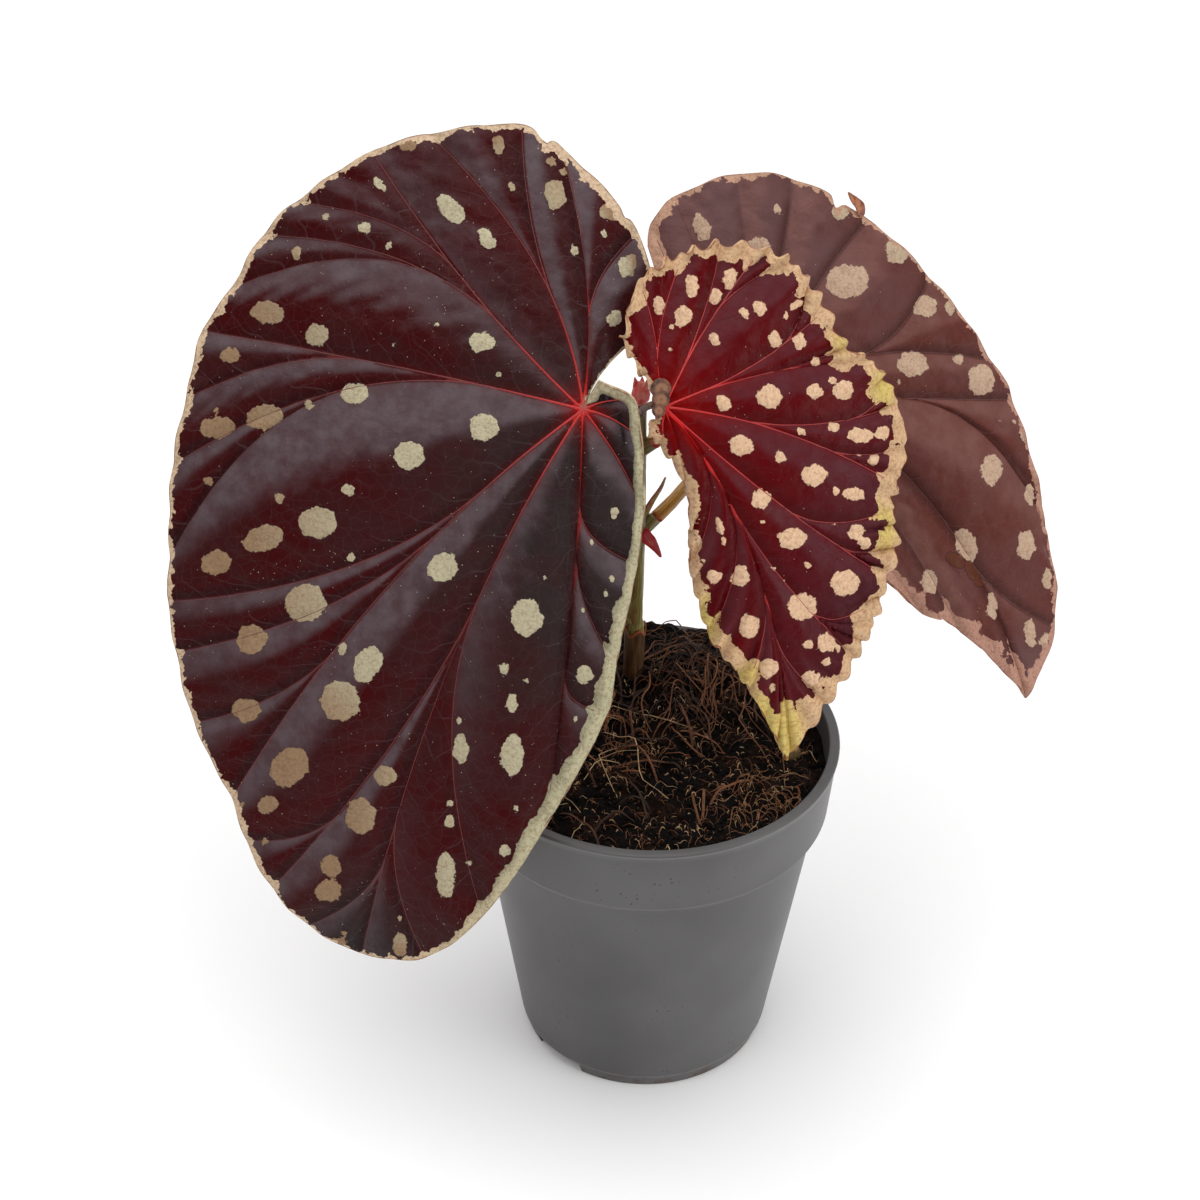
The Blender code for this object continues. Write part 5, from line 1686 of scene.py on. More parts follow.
RIM_RADIUS = 45.0 * MM
RIM_HEIGHT = 86.5 * MM
RIM_WIDTH = 2.6 * MM
BAND_HEIGHT = 69.0 * MM
BAND_RADIUS = 43.0 * MM
BODY_TOP_HEIGHT = 66.0 * MM
BODY_TOP_RADIUS = 40.3 * MM
FOOT_RADIUS = 31.0 * MM
FOOT_HEIGHT = 3.8 * MM
BASE_RADIUS = 29.8 * MM
WALL = 1.2 * MM
FLOOR = 1.6 * MM
CHANNEL_WIDTH = 14.5 * MM
CHANNEL_HEIGHT = 3.4 * MM
CHANNEL_ROOF = 1.4 * MM
CHANNEL_INNER_END = 7.0 * MM
CHANNEL_BEARINGS = (225.0, 345.0, 105.0)
DRAIN_RADIUS = 2.2 * MM
DRAIN_DISTANCE = 17.0 * MM
DISC_TOP = 9.0 * MM


def wall_radius(height: float) -> float:
    """Radius of the pot's inner wall at a height."""
    heights = (FOOT_HEIGHT, BODY_TOP_HEIGHT, BAND_HEIGHT, RIM_HEIGHT)
    radii = (FOOT_RADIUS - WALL, BODY_TOP_RADIUS - WALL, BAND_RADIUS - WALL, RIM_RADIUS - RIM_WIDTH)
    return float(np.interp(height, heights, radii))


@dataclass(frozen=True)
class PotPlastic:
    """Satin grey moulded plastic with dirt on its foot and painted highlight lines along its edges."""

    grey: Colour = tone(77, 75, 75)
    # Pale colour of scratches and cloudiness, and of the painted highlight lines along the edges.
    worn: Colour = tone(150, 149, 149)
    soil: Colour = tone(58, 40, 32)
    stain: Colour = tone(86, 64, 52)

    def build(self, effects: Effects) -> Material:
        """The pot's material."""
        kit = Paint("pot_plastic_moulded", 0.42, 0.35)
        place = kit.place()
        worn, height = effects.wear.use(kit, Vector=place), kit.upward(place)
        cloud = kit.step(kit.noise(place, 28.0, 3.0), 0.3, 0.7, 0.0, 0.12)
        colour = kit.mix(cloud, self.grey, self.worn)
        colour = kit.mix(kit.times(worn["Scratches"], 0.03), colour, self.worn)
        colour = kit.mix(kit.times(worn["Specks"], 0.75), colour, self.soil)
        # Painted highlights: thin pale lines along the band's lower edge, the rim and the foot bevel.
        for line in (BAND_HEIGHT - 0.2 * MM, RIM_HEIGHT - 0.7 * MM, FOOT_HEIGHT):
            edge = kit.step(kit.apart(height, line), 0.08 * MM, 0.32 * MM, 0.3, 0.0)
            colour = kit.mix(edge, colour, self.worn)
        foot = kit.step(height, 1.5 * MM, 5.0 * MM, 1.0, 0.0)
        blot = kit.times(kit.step(kit.noise(place, 240.0, 4.0, 0.65), 0.47, 0.60), 0.8)
        earth = kit.mix(kit.step(kit.noise(place, 700.0), 0.4, 0.6), self.soil, self.stain)
        colour = kit.mix(kit.times(foot, blot), colour, earth)
        relief = kit.plus(worn["Grain"], kit.times(worn["Scratches"], -0.08))
        return kit.finish(colour, relief, 0.12, 0.2 * MM)


@dataclass
class Pot:
    """The nursery pot, with rounded edges and drain channels."""

    effects: Effects
    segments: int = 128

    def build(self) -> Piece:
        """Make the pot, riding on the root."""
        inner = wall_radius
        outline = [
            (0.0, 0.0), (BASE_RADIUS, 0.0), (FOOT_RADIUS, FOOT_HEIGHT), (BODY_TOP_RADIUS, BODY_TOP_HEIGHT),
            (BAND_RADIUS, BAND_HEIGHT), (RIM_RADIUS - 0.6 * MM, RIM_HEIGHT - 2.2 * MM),
            (RIM_RADIUS, RIM_HEIGHT - 0.6 * MM), (RIM_RADIUS - 0.5 * MM, RIM_HEIGHT),
            *((inner(h), h) for h in (RIM_HEIGHT, BAND_HEIGHT, BODY_TOP_HEIGHT, FOOT_HEIGHT)),
            (inner(FOOT_HEIGHT) - 0.6 * MM, FLOOR), (0.0, FLOOR),
        ]
        finish = PotPlastic().build(self.effects)
        pot = revolve("pot_shell", rounded(outline, 0.5 * MM), self.segments, finish)
        roof, reach = CHANNEL_HEIGHT + CHANNEL_ROOF, 1.5 * FOOT_RADIUS
        for bearing in CHANNEL_BEARINGS:
            start = CHANNEL_INNER_END - CHANNEL_ROOF
            length, width = reach - start, CHANNEL_WIDTH + 2.0 * CHANNEL_ROOF
            rib = box((length, width, roof), (start + length / 2, 0.0, roof / 2), bearing)
            boolean(rib, self._disc(inner(FOOT_HEIGHT) - 0.3 * MM, 0.5 * MM, self.segments), "INTERSECT")
            boolean(pot, rib, "UNION")
        for bearing in CHANNEL_BEARINGS:
            length = reach - CHANNEL_INNER_END
            size = (length, CHANNEL_WIDTH, 2.0 * CHANNEL_HEIGHT)
            boolean(pot, box(size, (CHANNEL_INNER_END + length / 2, 0.0, 0.0), bearing), "DIFFERENCE")
            drain = self._disc(DRAIN_RADIUS, 1.0 * MM, 24)
            angle = math.radians(bearing)
            shift = Vector((math.cos(angle), math.sin(angle), 0.0)) * DRAIN_DISTANCE
            drain.data.transform(Matrix.Translation(shift))
            boolean(pot, drain, "DIFFERENCE")
        pot.data.set_sharp_from_angle(angle=math.radians(38.0))
        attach(pot, ROOT)
        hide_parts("pot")
        return pot

    @staticmethod
    def _disc(radius: float, low: float, segments: int) -> Piece:
        """A round cutter from a height up to above the channels."""
        return revolve("disc", [(0.0, low), (radius, low), (radius, DISC_TOP), (0.0, DISC_TOP)], segments)


# Soil

SOIL_FRONT = 80.0 * MM
SOIL_HEAP = 8.5 * MM
SOIL_HEAP_START = -2.0 * MM
SOIL_HEAP_LENGTH = 38.0 * MM
SOIL_LUMP = 1.6 * MM
SOIL_LUMP_PER_M = 160.0
SOIL_CRUMB_PER_M = 420.0
SOIL_EDGE = wall_radius(SOIL_FRONT) - GAP
CLUMP_PLACE = (10.0 * MM, 22.0 * MM)
CLUMP_SIZE = 13.0 * MM
CLUMP_HEIGHT = 3.0 * MM
HOLLOW_PLACE = (37.0 * MM, 6.0 * MM)
HOLLOW_SIZE = 16.0 * MM
HOLLOW_DEPTH = 3.5 * MM
SEED_RADIUS = 2.4 * MM
SEED_RISE = 0.9 * MM
SEED_SQUASH = 0.9
SEED_PLACE = (34.0 * MM, 2.5 * MM)


def soil_height(x: float, y: float) -> float:
    """Height of the soil: heaped towards the back, low at the right, lumpy."""
    height = SOIL_FRONT + SOIL_HEAP * smooth((y - SOIL_HEAP_START) / SOIL_HEAP_LENGTH)
    clump = math.hypot(x - CLUMP_PLACE[0], y - CLUMP_PLACE[1]) / CLUMP_SIZE
    height += CLUMP_HEIGHT * (1.0 - smooth(clump))
    hollow = math.hypot(x - HOLLOW_PLACE[0], y - HOLLOW_PLACE[1]) / HOLLOW_SIZE
    height -= HOLLOW_DEPTH * (1.0 - smooth(hollow))
    lumps = noise.noise(Vector((x, y, 0.01)) * SOIL_LUMP_PER_M)
    crumbs = noise.noise(Vector((x, y, 0.05)) * SOIL_CRUMB_PER_M)
    return float(height + SOIL_LUMP * (lumps + 0.6 * crumbs))


@dataclass(frozen=True)
class SoilFinish:
    """Near-black crumbly soil."""

    black: Colour = tone(9, 6, 5)
    brown: Colour = tone(38, 22, 14)
    pale: Colour = tone(160, 116, 70)

    def build(self, name: str, share: float) -> Material:
        """The soil's material.

        Args:
            name: Its name.
            share: How much of it is brown, from 0 to 1.

        Returns:
            The material.
        """
        kit = Paint(name, 0.95, 0.15)
        place = kit.place()
        patch = kit.step(kit.noise(place, 170.0, 4.0, 0.6), 0.62 - 0.3 * share, 0.8 - 0.3 * share)
        colour = kit.mix(patch, self.black, self.brown)
        bits = kit.step(kit.noise(place, 1300.0), 0.68, 0.74)
        colour = kit.mix(kit.times(bits, 0.45), colour, self.pale)
        return kit.finish(colour, kit.noise(place, 1500.0, 4.0, 0.65), 0.8, 0.6 * MM)


@dataclass(frozen=True)
class FibreFinish:
    """Coir fibres from dark brown to straw, by their tone."""

    dark: Colour = tone(46, 29, 19)
    middle: Colour = tone(146, 94, 60)
    straw: Colour = tone(222, 188, 138)

    def build(self) -> Material:
        """The fibres' material."""
        kit = Paint("coir_fibre", 0.7)
        value = kit.attribute("tone")
        colour = kit.mix(kit.step(value, 0.1, 0.6), self.dark, self.middle)
        colour = kit.mix(kit.step(value, 0.72, 0.95), colour, self.straw)
        stain = kit.step(kit.noise(kit.place(), 500.0, 3.0), 0.45, 0.75, 0.0, 0.55)
        return kit.finish(kit.mix(stain, colour, self.dark))


@dataclass(frozen=True)
class FibreBundle:
    """A rule for strewing fibres over a round patch of soil, in mm."""

    count: int
    centre: tuple[float, float]
    spread: float
    length: tuple[float, float]
    radius: tuple[float, float]
    arch: tuple[float, float]
    bend: float
    tones: tuple[float, float]


BUNDLES = (
    FibreBundle(420, (0.0, 0.0), 39.0, (2.5, 8.0), (0.04, 0.08), (0.05, 0.35), 1.8, (0.15, 0.95)),
    FibreBundle(420, (0.0, -8.0), 36.0, (1.0, 3.2), (0.05, 0.09), (0.10, 0.60), 1.2, (0.35, 1.0)),
    FibreBundle(120, (11.0, 24.0), 12.0, (8.0, 20.0), (0.10, 0.26), (0.08, 0.28), 2.2, (0.0, 0.5)),
    FibreBundle(90, (22.0, 26.0), 15.0, (10.0, 24.0), (0.09, 0.24), (0.04, 0.14), 1.2, (0.0, 0.45)),
    FibreBundle(40, (-6.0, 2.0), 12.0, (4.0, 10.0), (0.06, 0.12), (0.10, 0.35), 3.0, (0.3, 0.7)),
    FibreBundle(60, (27.0, -15.0), 10.0, (4.0, 10.0), (0.06, 0.13), (0.15, 0.45), 2.6, (0.4, 0.85)),
    FibreBundle(9, (0.0, -8.0), 26.0, (18.0, 32.0), (0.09, 0.14), (0.05, 0.12), 1.1, (0.9, 1.0)),
    FibreBundle(330, (0.0, -10.0), 34.0, (0.7, 2.2), (0.07, 0.14), (0.2, 0.7), 0.8, (0.85, 1.0)),
)
FIBRE_SEED = 11
COARSE_SEED = 11
COARSE_COUNT = 46
COARSE_STEPS = 5
COARSE_STRANDS = 3
COARSE_LENGTH = (7.0 * MM, 17.0 * MM)
COARSE_ARCH = (0.12, 0.3)
COARSE_BEND = 1.6
COARSE_CLEARANCE = 1.5 * MM
STRAND_RADIUS = 0.13 * MM
STRAND_TWIST = 0.22 * MM
STRAND_STEPS = 12


@dataclass
class Soil:
    """The soil: crumbly top, crumbs and fibres."""

    tubes: LineTubes
    scatter: Scatter
    rings: int = 104
    segments: int = 260

    def build(self) -> list[Piece]:
        """Make the soil's pieces, riding on the root."""
        top = self._body()
        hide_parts("soil")
        made = [top, self._crumbs(top), self._fibres()]
        for piece in made:
            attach(piece, ROOT)
        return made

    def _body(self) -> Piece:
        """The plug of soil with its fine top."""
        floor = CHANNEL_HEIGHT + CHANNEL_ROOF + GAP
        vertices, rings, strew = [(0.0, 0.0, floor)], [[0] * self.segments], [0.0]
        levels = [(wall_radius(level) - GAP, level) for level in (floor, 30.0 * MM, 65.0 * MM, 69.0 * MM)]
        tops = [(SOIL_EDGE * (ring / self.rings), None) for ring in range(self.rings, 0, -1)]
        for radius, level in levels + tops:
            rings.append(list(range(len(vertices), len(vertices) + self.segments)))
            for k in range(self.segments):
                angle = math.tau * k / self.segments
                x, y = radius * math.cos(angle), radius * math.sin(angle)
                vertices.append((x, y, self._height(x, y) if level is None else level))
            inside = level is None and radius < SOIL_EDGE - 1.2 * MM
            strew += [1.0 if inside else 0.0] * self.segments
        rings.append([len(vertices)] * self.segments)
        vertices.append((0.0, 0.0, self._height(0.0, 0.0)))
        made = new_object("soil_plug", vertices, ring_faces(rings), SoilFinish().build("soil_black", 0.35))
        store(made.data, "strew", strew + [1.0])
        return made

    @staticmethod
    def _height(x: float, y: float) -> float:
        """Height of the soil with its small crumbs."""
        return soil_height(x, y) + 0.8 * MM * noise.fractal(Vector((x, y, 0.2)) * 380.0, 0.8, 2.1, 4)

    def _crumbs(self, top: Piece) -> Piece:
        """Loose crumbs on the soil."""
        bodies = [lump_body(f"crumb_{n}", 1.0 * MM, 0.75, 3.7 * n) for n in range(4)]
        return self.scatter.build(
            "soil_crumbs", top, bodies, Density=330000.0, Smallest=0.2, Largest=0.75, Seed=3,
            Finish=SoilFinish().build("soil_crumb", 0.55))

    def _fibres(self) -> Piece:
        """Coir fibres that leave the soil, arch over and dip back into it."""
        random = np.random.default_rng(FIBRE_SEED)
        lines = self._coarse_lines()
        for bundle in BUNDLES:
            steps = 5 if bundle.length[1] < 4.0 else 8 if bundle.length[1] < 9.0 else 11
            for _ in range(bundle.count):
                distance = bundle.spread * MM * math.sqrt(random.uniform(0.0, 1.0))
                place, heading = random.uniform(0.0, math.tau, 2)
                length = random.uniform(*bundle.length) * MM
                bend = random.uniform(-bundle.bend, bundle.bend)
                arch = random.uniform(*bundle.arch) * length
                radius = random.uniform(*bundle.radius) * MM
                shade = random.uniform(*bundle.tones)
                x = bundle.centre[0] * MM + distance * math.cos(place)
                y = bundle.centre[1] * MM + distance * math.sin(place)
                wobble = random.uniform(0.0, math.tau)
                line = []
                for step in range(steps + 1):
                    share = step / steps
                    swell = math.sin(math.pi * share)
                    ripple = 0.06 * length * math.sin(share * 9.0 + wobble) * swell
                    height = soil_height(x, y) + arch * swell ** 0.8 + ripple - 0.3 * MM
                    line.append(((x, y, height), radius * (0.6 + 0.4 * swell), shade))
                    turn = heading + bend * share + 0.5 * math.sin(share * 7.0 + wobble)
                    x += length / steps * math.cos(turn)
                    y += length / steps * math.sin(turn)
                if max(math.hypot(p[0], p[1]) for p, _, _ in line) < SOIL_EDGE - 0.8 * MM:
                    lines.append(line)
        return self.tubes.build("soil_fibres", lines, FibreFinish().build(), 4)

    @staticmethod
    def _coarse_lines() -> list:
        """The solid model's own coarse fibres, each as a strand of three thinner ones."""
        random = np.random.default_rng(COARSE_SEED)
        edge = (wall_radius(BODY_TOP_HEIGHT) - GAP) * math.cos(math.pi / 48) * math.cos(math.pi / 40)
        lines = []
        for number in range(COARSE_COUNT):
            distance = edge * math.sqrt(random.uniform(0.0, 0.85))
            place = random.uniform(0.0, math.tau)
            heading = random.uniform(0.0, math.tau)
            length = random.uniform(*COARSE_LENGTH)
            bend = random.uniform(-COARSE_BEND, COARSE_BEND)
            arch = random.uniform(*COARSE_ARCH) * length
            x, y = distance * math.cos(place), distance * math.sin(place)
            points = []
            for step in range(COARSE_STEPS + 1):
                share = step / COARSE_STEPS
                height = soil_height(x, y) + arch * math.sin(math.pi * share) - 0.4 * MM
                points.append(Vector((x, y, height)))
                x += length / COARSE_STEPS * math.cos(heading + bend * share)
                y += length / COARSE_STEPS * math.sin(heading + bend * share)
            if max(p.xy.length for p in points) >= edge - COARSE_CLEARANCE:
                continue
            shade = 0.15 + 0.5 * (number * 7 % 10) / 10.0
            for strand in range(COARSE_STRANDS):
                line = []
                for k, point in enumerate(smooth_line(points, STRAND_STEPS)):
                    turn = 2.1 * strand
                    twist = Vector((math.sin(turn + 0.4 * k), math.cos(turn + 0.5 * k), 0.6))
                    line.append((point + twist * STRAND_TWIST, STRAND_RADIUS, shade))
                lines.append(line)
        return lines


@dataclass
class Seed:
    """The dry seed that lies on the soil, with some hairs."""

    tubes: LineTubes

    def build(self) -> list[Piece]:
        """Make the seed, riding on the root."""
        x, y = SEED_PLACE
        centre = Vector((x, y, soil_height(x, y) + SEED_RISE))
        ball = lump_body("seed_ball", SEED_RADIUS * 0.97, 0.06, 1.0, 5)
        ball.data.materials.append(mottled(
            "seed_husk", 0.55, (420.0, 4.0, 0.6), (0.35, 0.7), (tone(128, 108, 66), tone(58, 42, 22)),
            (900.0, 3.0, 0.5, 0.3 * MM)))
        ball.data.transform(Matrix.Translation(centre) @ Matrix.Diagonal((1.0, 1.0, SEED_SQUASH, 1.0)))
        ball.data.shade_smooth()
        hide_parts("seed")
        random = np.random.default_rng(4)
        lines = []
        for _ in range(7):
            angle = random.uniform(0.0, math.tau)
            out = Vector((math.cos(angle), math.sin(angle), random.uniform(-0.1, 0.5)))
            side = Vector((-out.y, out.x, 0.0)) * random.uniform(-2.0, 2.0)
            line = []
            for t in np.linspace(0.0, 1.6, 8):
                point = centre + (out * (0.9 + 0.5 * t) + side * t * t * 0.6) * SEED_RADIUS
                line.append((point - Vector((0.0, 0.0, 1.4 * MM * t * t)), 0.1 * MM, 0.6))
            lines.append(line)
        hairs = self.tubes.build("seed_hairs", lines, FibreFinish().build(), 5)
        for piece in (ball, hairs):
            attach(piece, ROOT)
        return [ball, hairs]


# Cane and stalks

CANE_PATH = (
    (-4.2 * MM, 30.0 * MM, 58.0 * MM),
    (-3.9 * MM, 25.0 * MM, 80.0 * MM),
    (-3.6 * MM, 20.3 * MM, 103.0 * MM),
    (-3.3 * MM, 14.2 * MM, 133.0 * MM),
    (-3.6 * MM, 6.3 * MM, 172.0 * MM),
)
SHEATH_RADIUS = 2.4 * MM
SHEATH_FOOT = 76.0 * MM
SHEATH_TOP = 102.0 * MM
SHEATH_WALL = 0.22 * MM
CANE_RADIUS = 1.75 * MM
CANE_TOP_RADIUS = 1.45 * MM
CANE_STEPS = 150
NODE_SWELLING = 0.5 * MM
NODE_LENGTH = 1.8 * MM
NODE_HEIGHTS = (103.0 * MM, 133.0 * MM, 160.0 * MM)
PETIOLE_RADIUS = 1.5 * MM
STIPULE_FLATNESS = 0.4
STIPULE_STEPS = 30
RED_SIDE = (-0.5, -0.35, -0.8)
RED_STIPULE = (
    (-3.0, 13.6, 135.2, 1.1),
    (-2.2, 12.8, 134.4, 1.6),
    (-0.6, 12.4, 132.4, 1.5),
    (1.0, 12.3, 130.0, 0.8),
    (1.9, 12.2, 128.2, 0.3),
)
GREEN_STIPULE = (
    (-3.0, 14.3, 133.8, 0.8),
    (-2.2, 15.2, 136.8, 1.2),
    (-0.6, 15.8, 140.6, 1.1),
    (1.6, 16.0, 144.6, 0.7),
    (2.6, 16.0, 147.4, 0.35),
)
BUD_PROFILE = ((0.0, 0.0), (1.2, 0.2), (2.1, 2.2), (1.9, 4.2), (1.0, 6.0), (0.0, 6.8))
BUD_TIPS = ((-1.3, 0.3, 7.4), (1.4, -0.6, 7.6), (0.3, 1.5, 6.6))
STUB_STALK = ((-3.5, 3.6, 171.6), (-3.2, 0.5, 174.5), (-2.6, -3.5, 177.5), (-0.9, -7.2, 180.2))
STUB_STALK_RADIUS = 0.8
STUBS = ((-0.9, 4.2, 2.3), (-1.1, 2.0, 2.0), (-1.8, -0.3, 1.5))
STUB_OUT = (1.6, 3.6)


@dataclass(frozen=True)
class Petiole:
    """A leaf stalk: its height on the cane, its heading and seat there, and its handles in mm."""

    name: str
    leaf: LeafPlan
    height: float
    heading: tuple[float, float, float]
    seat: float
    leaving: float
    arriving: float

    def controls(self) -> tuple[Vector, Vector, Vector, Vector]:
        """The four controls of the stalk's curve, from its seat to just behind the blade."""
        out = Vector(Blade(self.leaf).out())
        end = Vector(self.leaf.junction) * MM - out * (BLADE_THICKNESS / 2.0 * MM + GAP + 0.15 * MM)
        heading = Vector(self.heading).normalized()
        start = cane_point(self.height) + heading * self.seat * MM
        return start, start + heading * self.leaving * MM, end - out * self.arriving * MM, end


PETIOLES = (
    Petiole("petiole_front", LEAF_FRONT, 104.5 * MM, (-0.8, 0.05, 0.6), 5.2, 30.0, 22.0),
    Petiole("petiole_middle", LEAF_MIDDLE, 159.0 * MM, (0.62, -0.3, 0.62), 4.8, 4.0, 6.0),
    Petiole("petiole_back", LEAF_BACK, 133.6 * MM, (0.68, 0.35, 0.5), 5.4, 14.0, 12.0),
)


def cane_point(height: float) -> Vector:
    """Centre of the cane at a height."""
    rows = np.array(CANE_PATH)
    x, y = (float(np.interp(height, rows[:, 2], rows[:, axis])) for axis in (0, 1))
    return Vector((x, y, height))


def cane_radius(height: float) -> float:
    """The cane's radius under its sheath, swollen at its nodes."""
    taper = (height - SHEATH_TOP) / (CANE_PATH[-1][2] - SHEATH_TOP)
    radius = CANE_RADIUS + (CANE_TOP_RADIUS - CANE_RADIUS) * max(0.0, taper)
    if height < SHEATH_TOP:
        radius = SHEATH_RADIUS - 0.25 * MM
    for node in NODE_HEIGHTS:
        radius += NODE_SWELLING * math.exp(-(((height - node) / NODE_LENGTH) ** 2))
    return radius


@dataclass(frozen=True)
class StalkFinish:
    """Skin of the cane or a leaf stalk: streaked, with red over green."""

    name: str
    green: Colour
    gold: Colour
    red: Colour
    red_share: float = 0.3

    def build(self, effects: Effects) -> Material:
        """The stalk's material."""
        kit = Paint(self.name, 0.38)
        marks = effects.strands.use(kit, Grain=kit.attribute("grain", "Vector"))
        colour = kit.mix(kit.step(marks["Streaks"], 0.35, 0.65), self.green, self.gold)
        reddish = kit.plus(kit.attribute("side"), kit.less(marks["Blotches"], 0.5))
        colour = kit.mix(kit.step(reddish, 0.62 - self.red_share, 0.95 - self.red_share), colour, self.red)
        return kit.finish(colour, marks["Streaks"], 0.35, 0.25 * MM)


CANE_SKIN = StalkFinish("cane_skin", tone(96, 90, 44), tone(142, 130, 72), tone(118, 58, 34), -0.1)
STIPULES = (
    (RED_STIPULE, StalkFinish("stipule_red", tone(190, 70, 50), tone(206, 96, 66), tone(170, 22, 30))),
    (GREEN_STIPULE, StalkFinish("stipule_green", tone(120, 112, 40), tone(160, 146, 60), tone(140, 70, 30))),
)


def store_side(piece: Piece, direction: tuple[float, float, float] = RED_SIDE) -> None:
    """Store how far each place of a piece faces a direction, from 0 to 1."""
    mesh = piece.data
    heading = np.array(direction) / np.linalg.norm(direction)
    normals = np.empty(len(mesh.vertices) * 3, dtype=np.float32)
    mesh.vertices.foreach_get("normal", normals)
    store(mesh, "side", 0.5 + 0.5 * normals.reshape(-1, 3) @ heading)


@dataclass
class Stems:
    """The cane, its sheath and stipules, and the three leaf stalks."""

    effects: Effects
    sheath_rows: int = 46
    sheath_sides: int = 36

    def build(self) -> list[Piece]:
        """Make the stems, riding on the root."""
        made = [self._cane(), self._sheath(), *(self._stipule(rows, finish) for rows, finish in STIPULES)]
        for stalk in PETIOLES:
            piece = self._stalk(stalk)
            made.append(piece)
        for piece in made:
            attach(piece, ROOT)
        return made

    def _cane(self) -> Piece:
        """The cane with the seats of its leaf stalks."""
        material = CANE_SKIN.build(self.effects)
        foot, top = CANE_PATH[0][2], CANE_PATH[-1][2]
        radii = [cane_radius(height) for height in np.linspace(foot, top, CANE_STEPS)]
        line = smooth_line([cane_point(height) for height in np.linspace(foot, top, 9)], CANE_STEPS)
        parts = [Tube(line, radii, 28, lump=0.05).build("cane_stem", material)]
        for stalk in PETIOLES:
            start, ahead, _, _ = stalk.controls()
            low, high = cane_point(stalk.height), start - (ahead - start).normalized() * GAP
            radii = [PETIOLE_RADIUS * share for share in (1.25, 1.15, 1.08)]
            parts.append(Tube([low, (low + high) / 2.0, high], radii, 24).build("seat", material))
        made = join(parts, "cane_stem")
        store_side(made)
        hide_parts("cane")
        return made

    def _sheath(self) -> Piece:
        """The brown papery sheath round the cane's foot, with a ragged top."""
        kit = Paint("cane_sheath", 0.6)
        marks = self.effects.strands.use(kit, Grain=kit.attribute("grain", "Vector"))
        colour = kit.mix(kit.step(marks["Streaks"], 0.35, 0.7), tone(52, 30, 14), tone(108, 76, 38))
        brim = kit.step(kit.attribute("along"), 0.95, 0.99, 0.0, 0.8)
        finish = kit.finish(kit.mix(brim, colour, tone(176, 84, 40)), marks["Streaks"], 0.7, 0.4 * MM)
        rows, sides = self.sheath_rows, self.sheath_sides
        outer, inner, along, grain = [], [], [], []
        for k in range(rows):
            share = k / (rows - 1)
            for side in range(sides):
                angle = math.tau * side / sides
                around = Vector((math.cos(angle), math.sin(angle), 0.0))
                ragged = 2.2 * noise.noise(around * 1.3 + Vector((5.0, 0.0, 0.0))) * MM
                height = SHEATH_FOOT + (SHEATH_TOP + 0.6 * MM + ragged - SHEATH_FOOT) * share
                radius = SHEATH_RADIUS + 0.03 * MM + 0.35 * MM * share ** 10
                radius += 0.12 * MM * noise.noise(Vector((around.x * 2.5, around.y * 2.5, height * 120.0)))
                centre = cane_point(height)
                outer.append(centre + around * radius)
                inner.append(centre + around * (radius - SHEATH_WALL))
                along.append(share)
                grain.append((around.x * 4.0, around.y * 4.0, height / MM))
        rings = [list(range(k * sides, (k + 1) * sides)) for k in range(2 * rows)]
        walls = ring_faces(rings[:rows]) + ring_faces(rings[:rows - 1:-1])
        rims = ring_faces([rings[rows - 1], rings[-1]]) + ring_faces([rings[rows], rings[0]])
        faces = walls + [face[1:] + face[:1] for face in rims]
        sheath = new_object("cane_sheath", outer + inner, faces, finish)
        store(sheath.data, "grain", grain + grain, "FLOAT_VECTOR")
        store(sheath.data, "along", along + along)
        return sheath

    def _stipule(self, rows: tuple, finish: StalkFinish) -> Piece:
        """A small pointed leaf-like scale at the cane's middle node."""
        line = smooth_line([Vector(row[:3]) * MM for row in rows], STIPULE_STEPS)
        radii = spread([row[3] * MM for row in rows], STIPULE_STEPS)
        made = Tube(line, radii, 20, STIPULE_FLATNESS, 0.12, 3.0).build(
            finish.name, finish.build(self.effects))
        store_side(made, (-0.2, -0.3, 1.0))
        return made

    def _stalk(self, stalk: Petiole) -> Piece:
        """A leaf stalk, a little slimmer in its middle."""
        finish = StalkFinish(
            stalk.name + "_streaked", tone(132, 102, 34), tone(196, 138, 52), tone(168, 24, 20), 0.16)
        points = curve_points(stalk.controls(), 60)
        shares = np.linspace(0.0, 1.0, len(points))
        radii = [PETIOLE_RADIUS * (1.1 - 0.2 * math.sin(math.pi * t)) for t in shares]
        made = Tube(points, radii, 24, lump=0.06).build(stalk.name + "_stem", finish.build(self.effects))
        store_side(made)
        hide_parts(stalk.name)
        return made


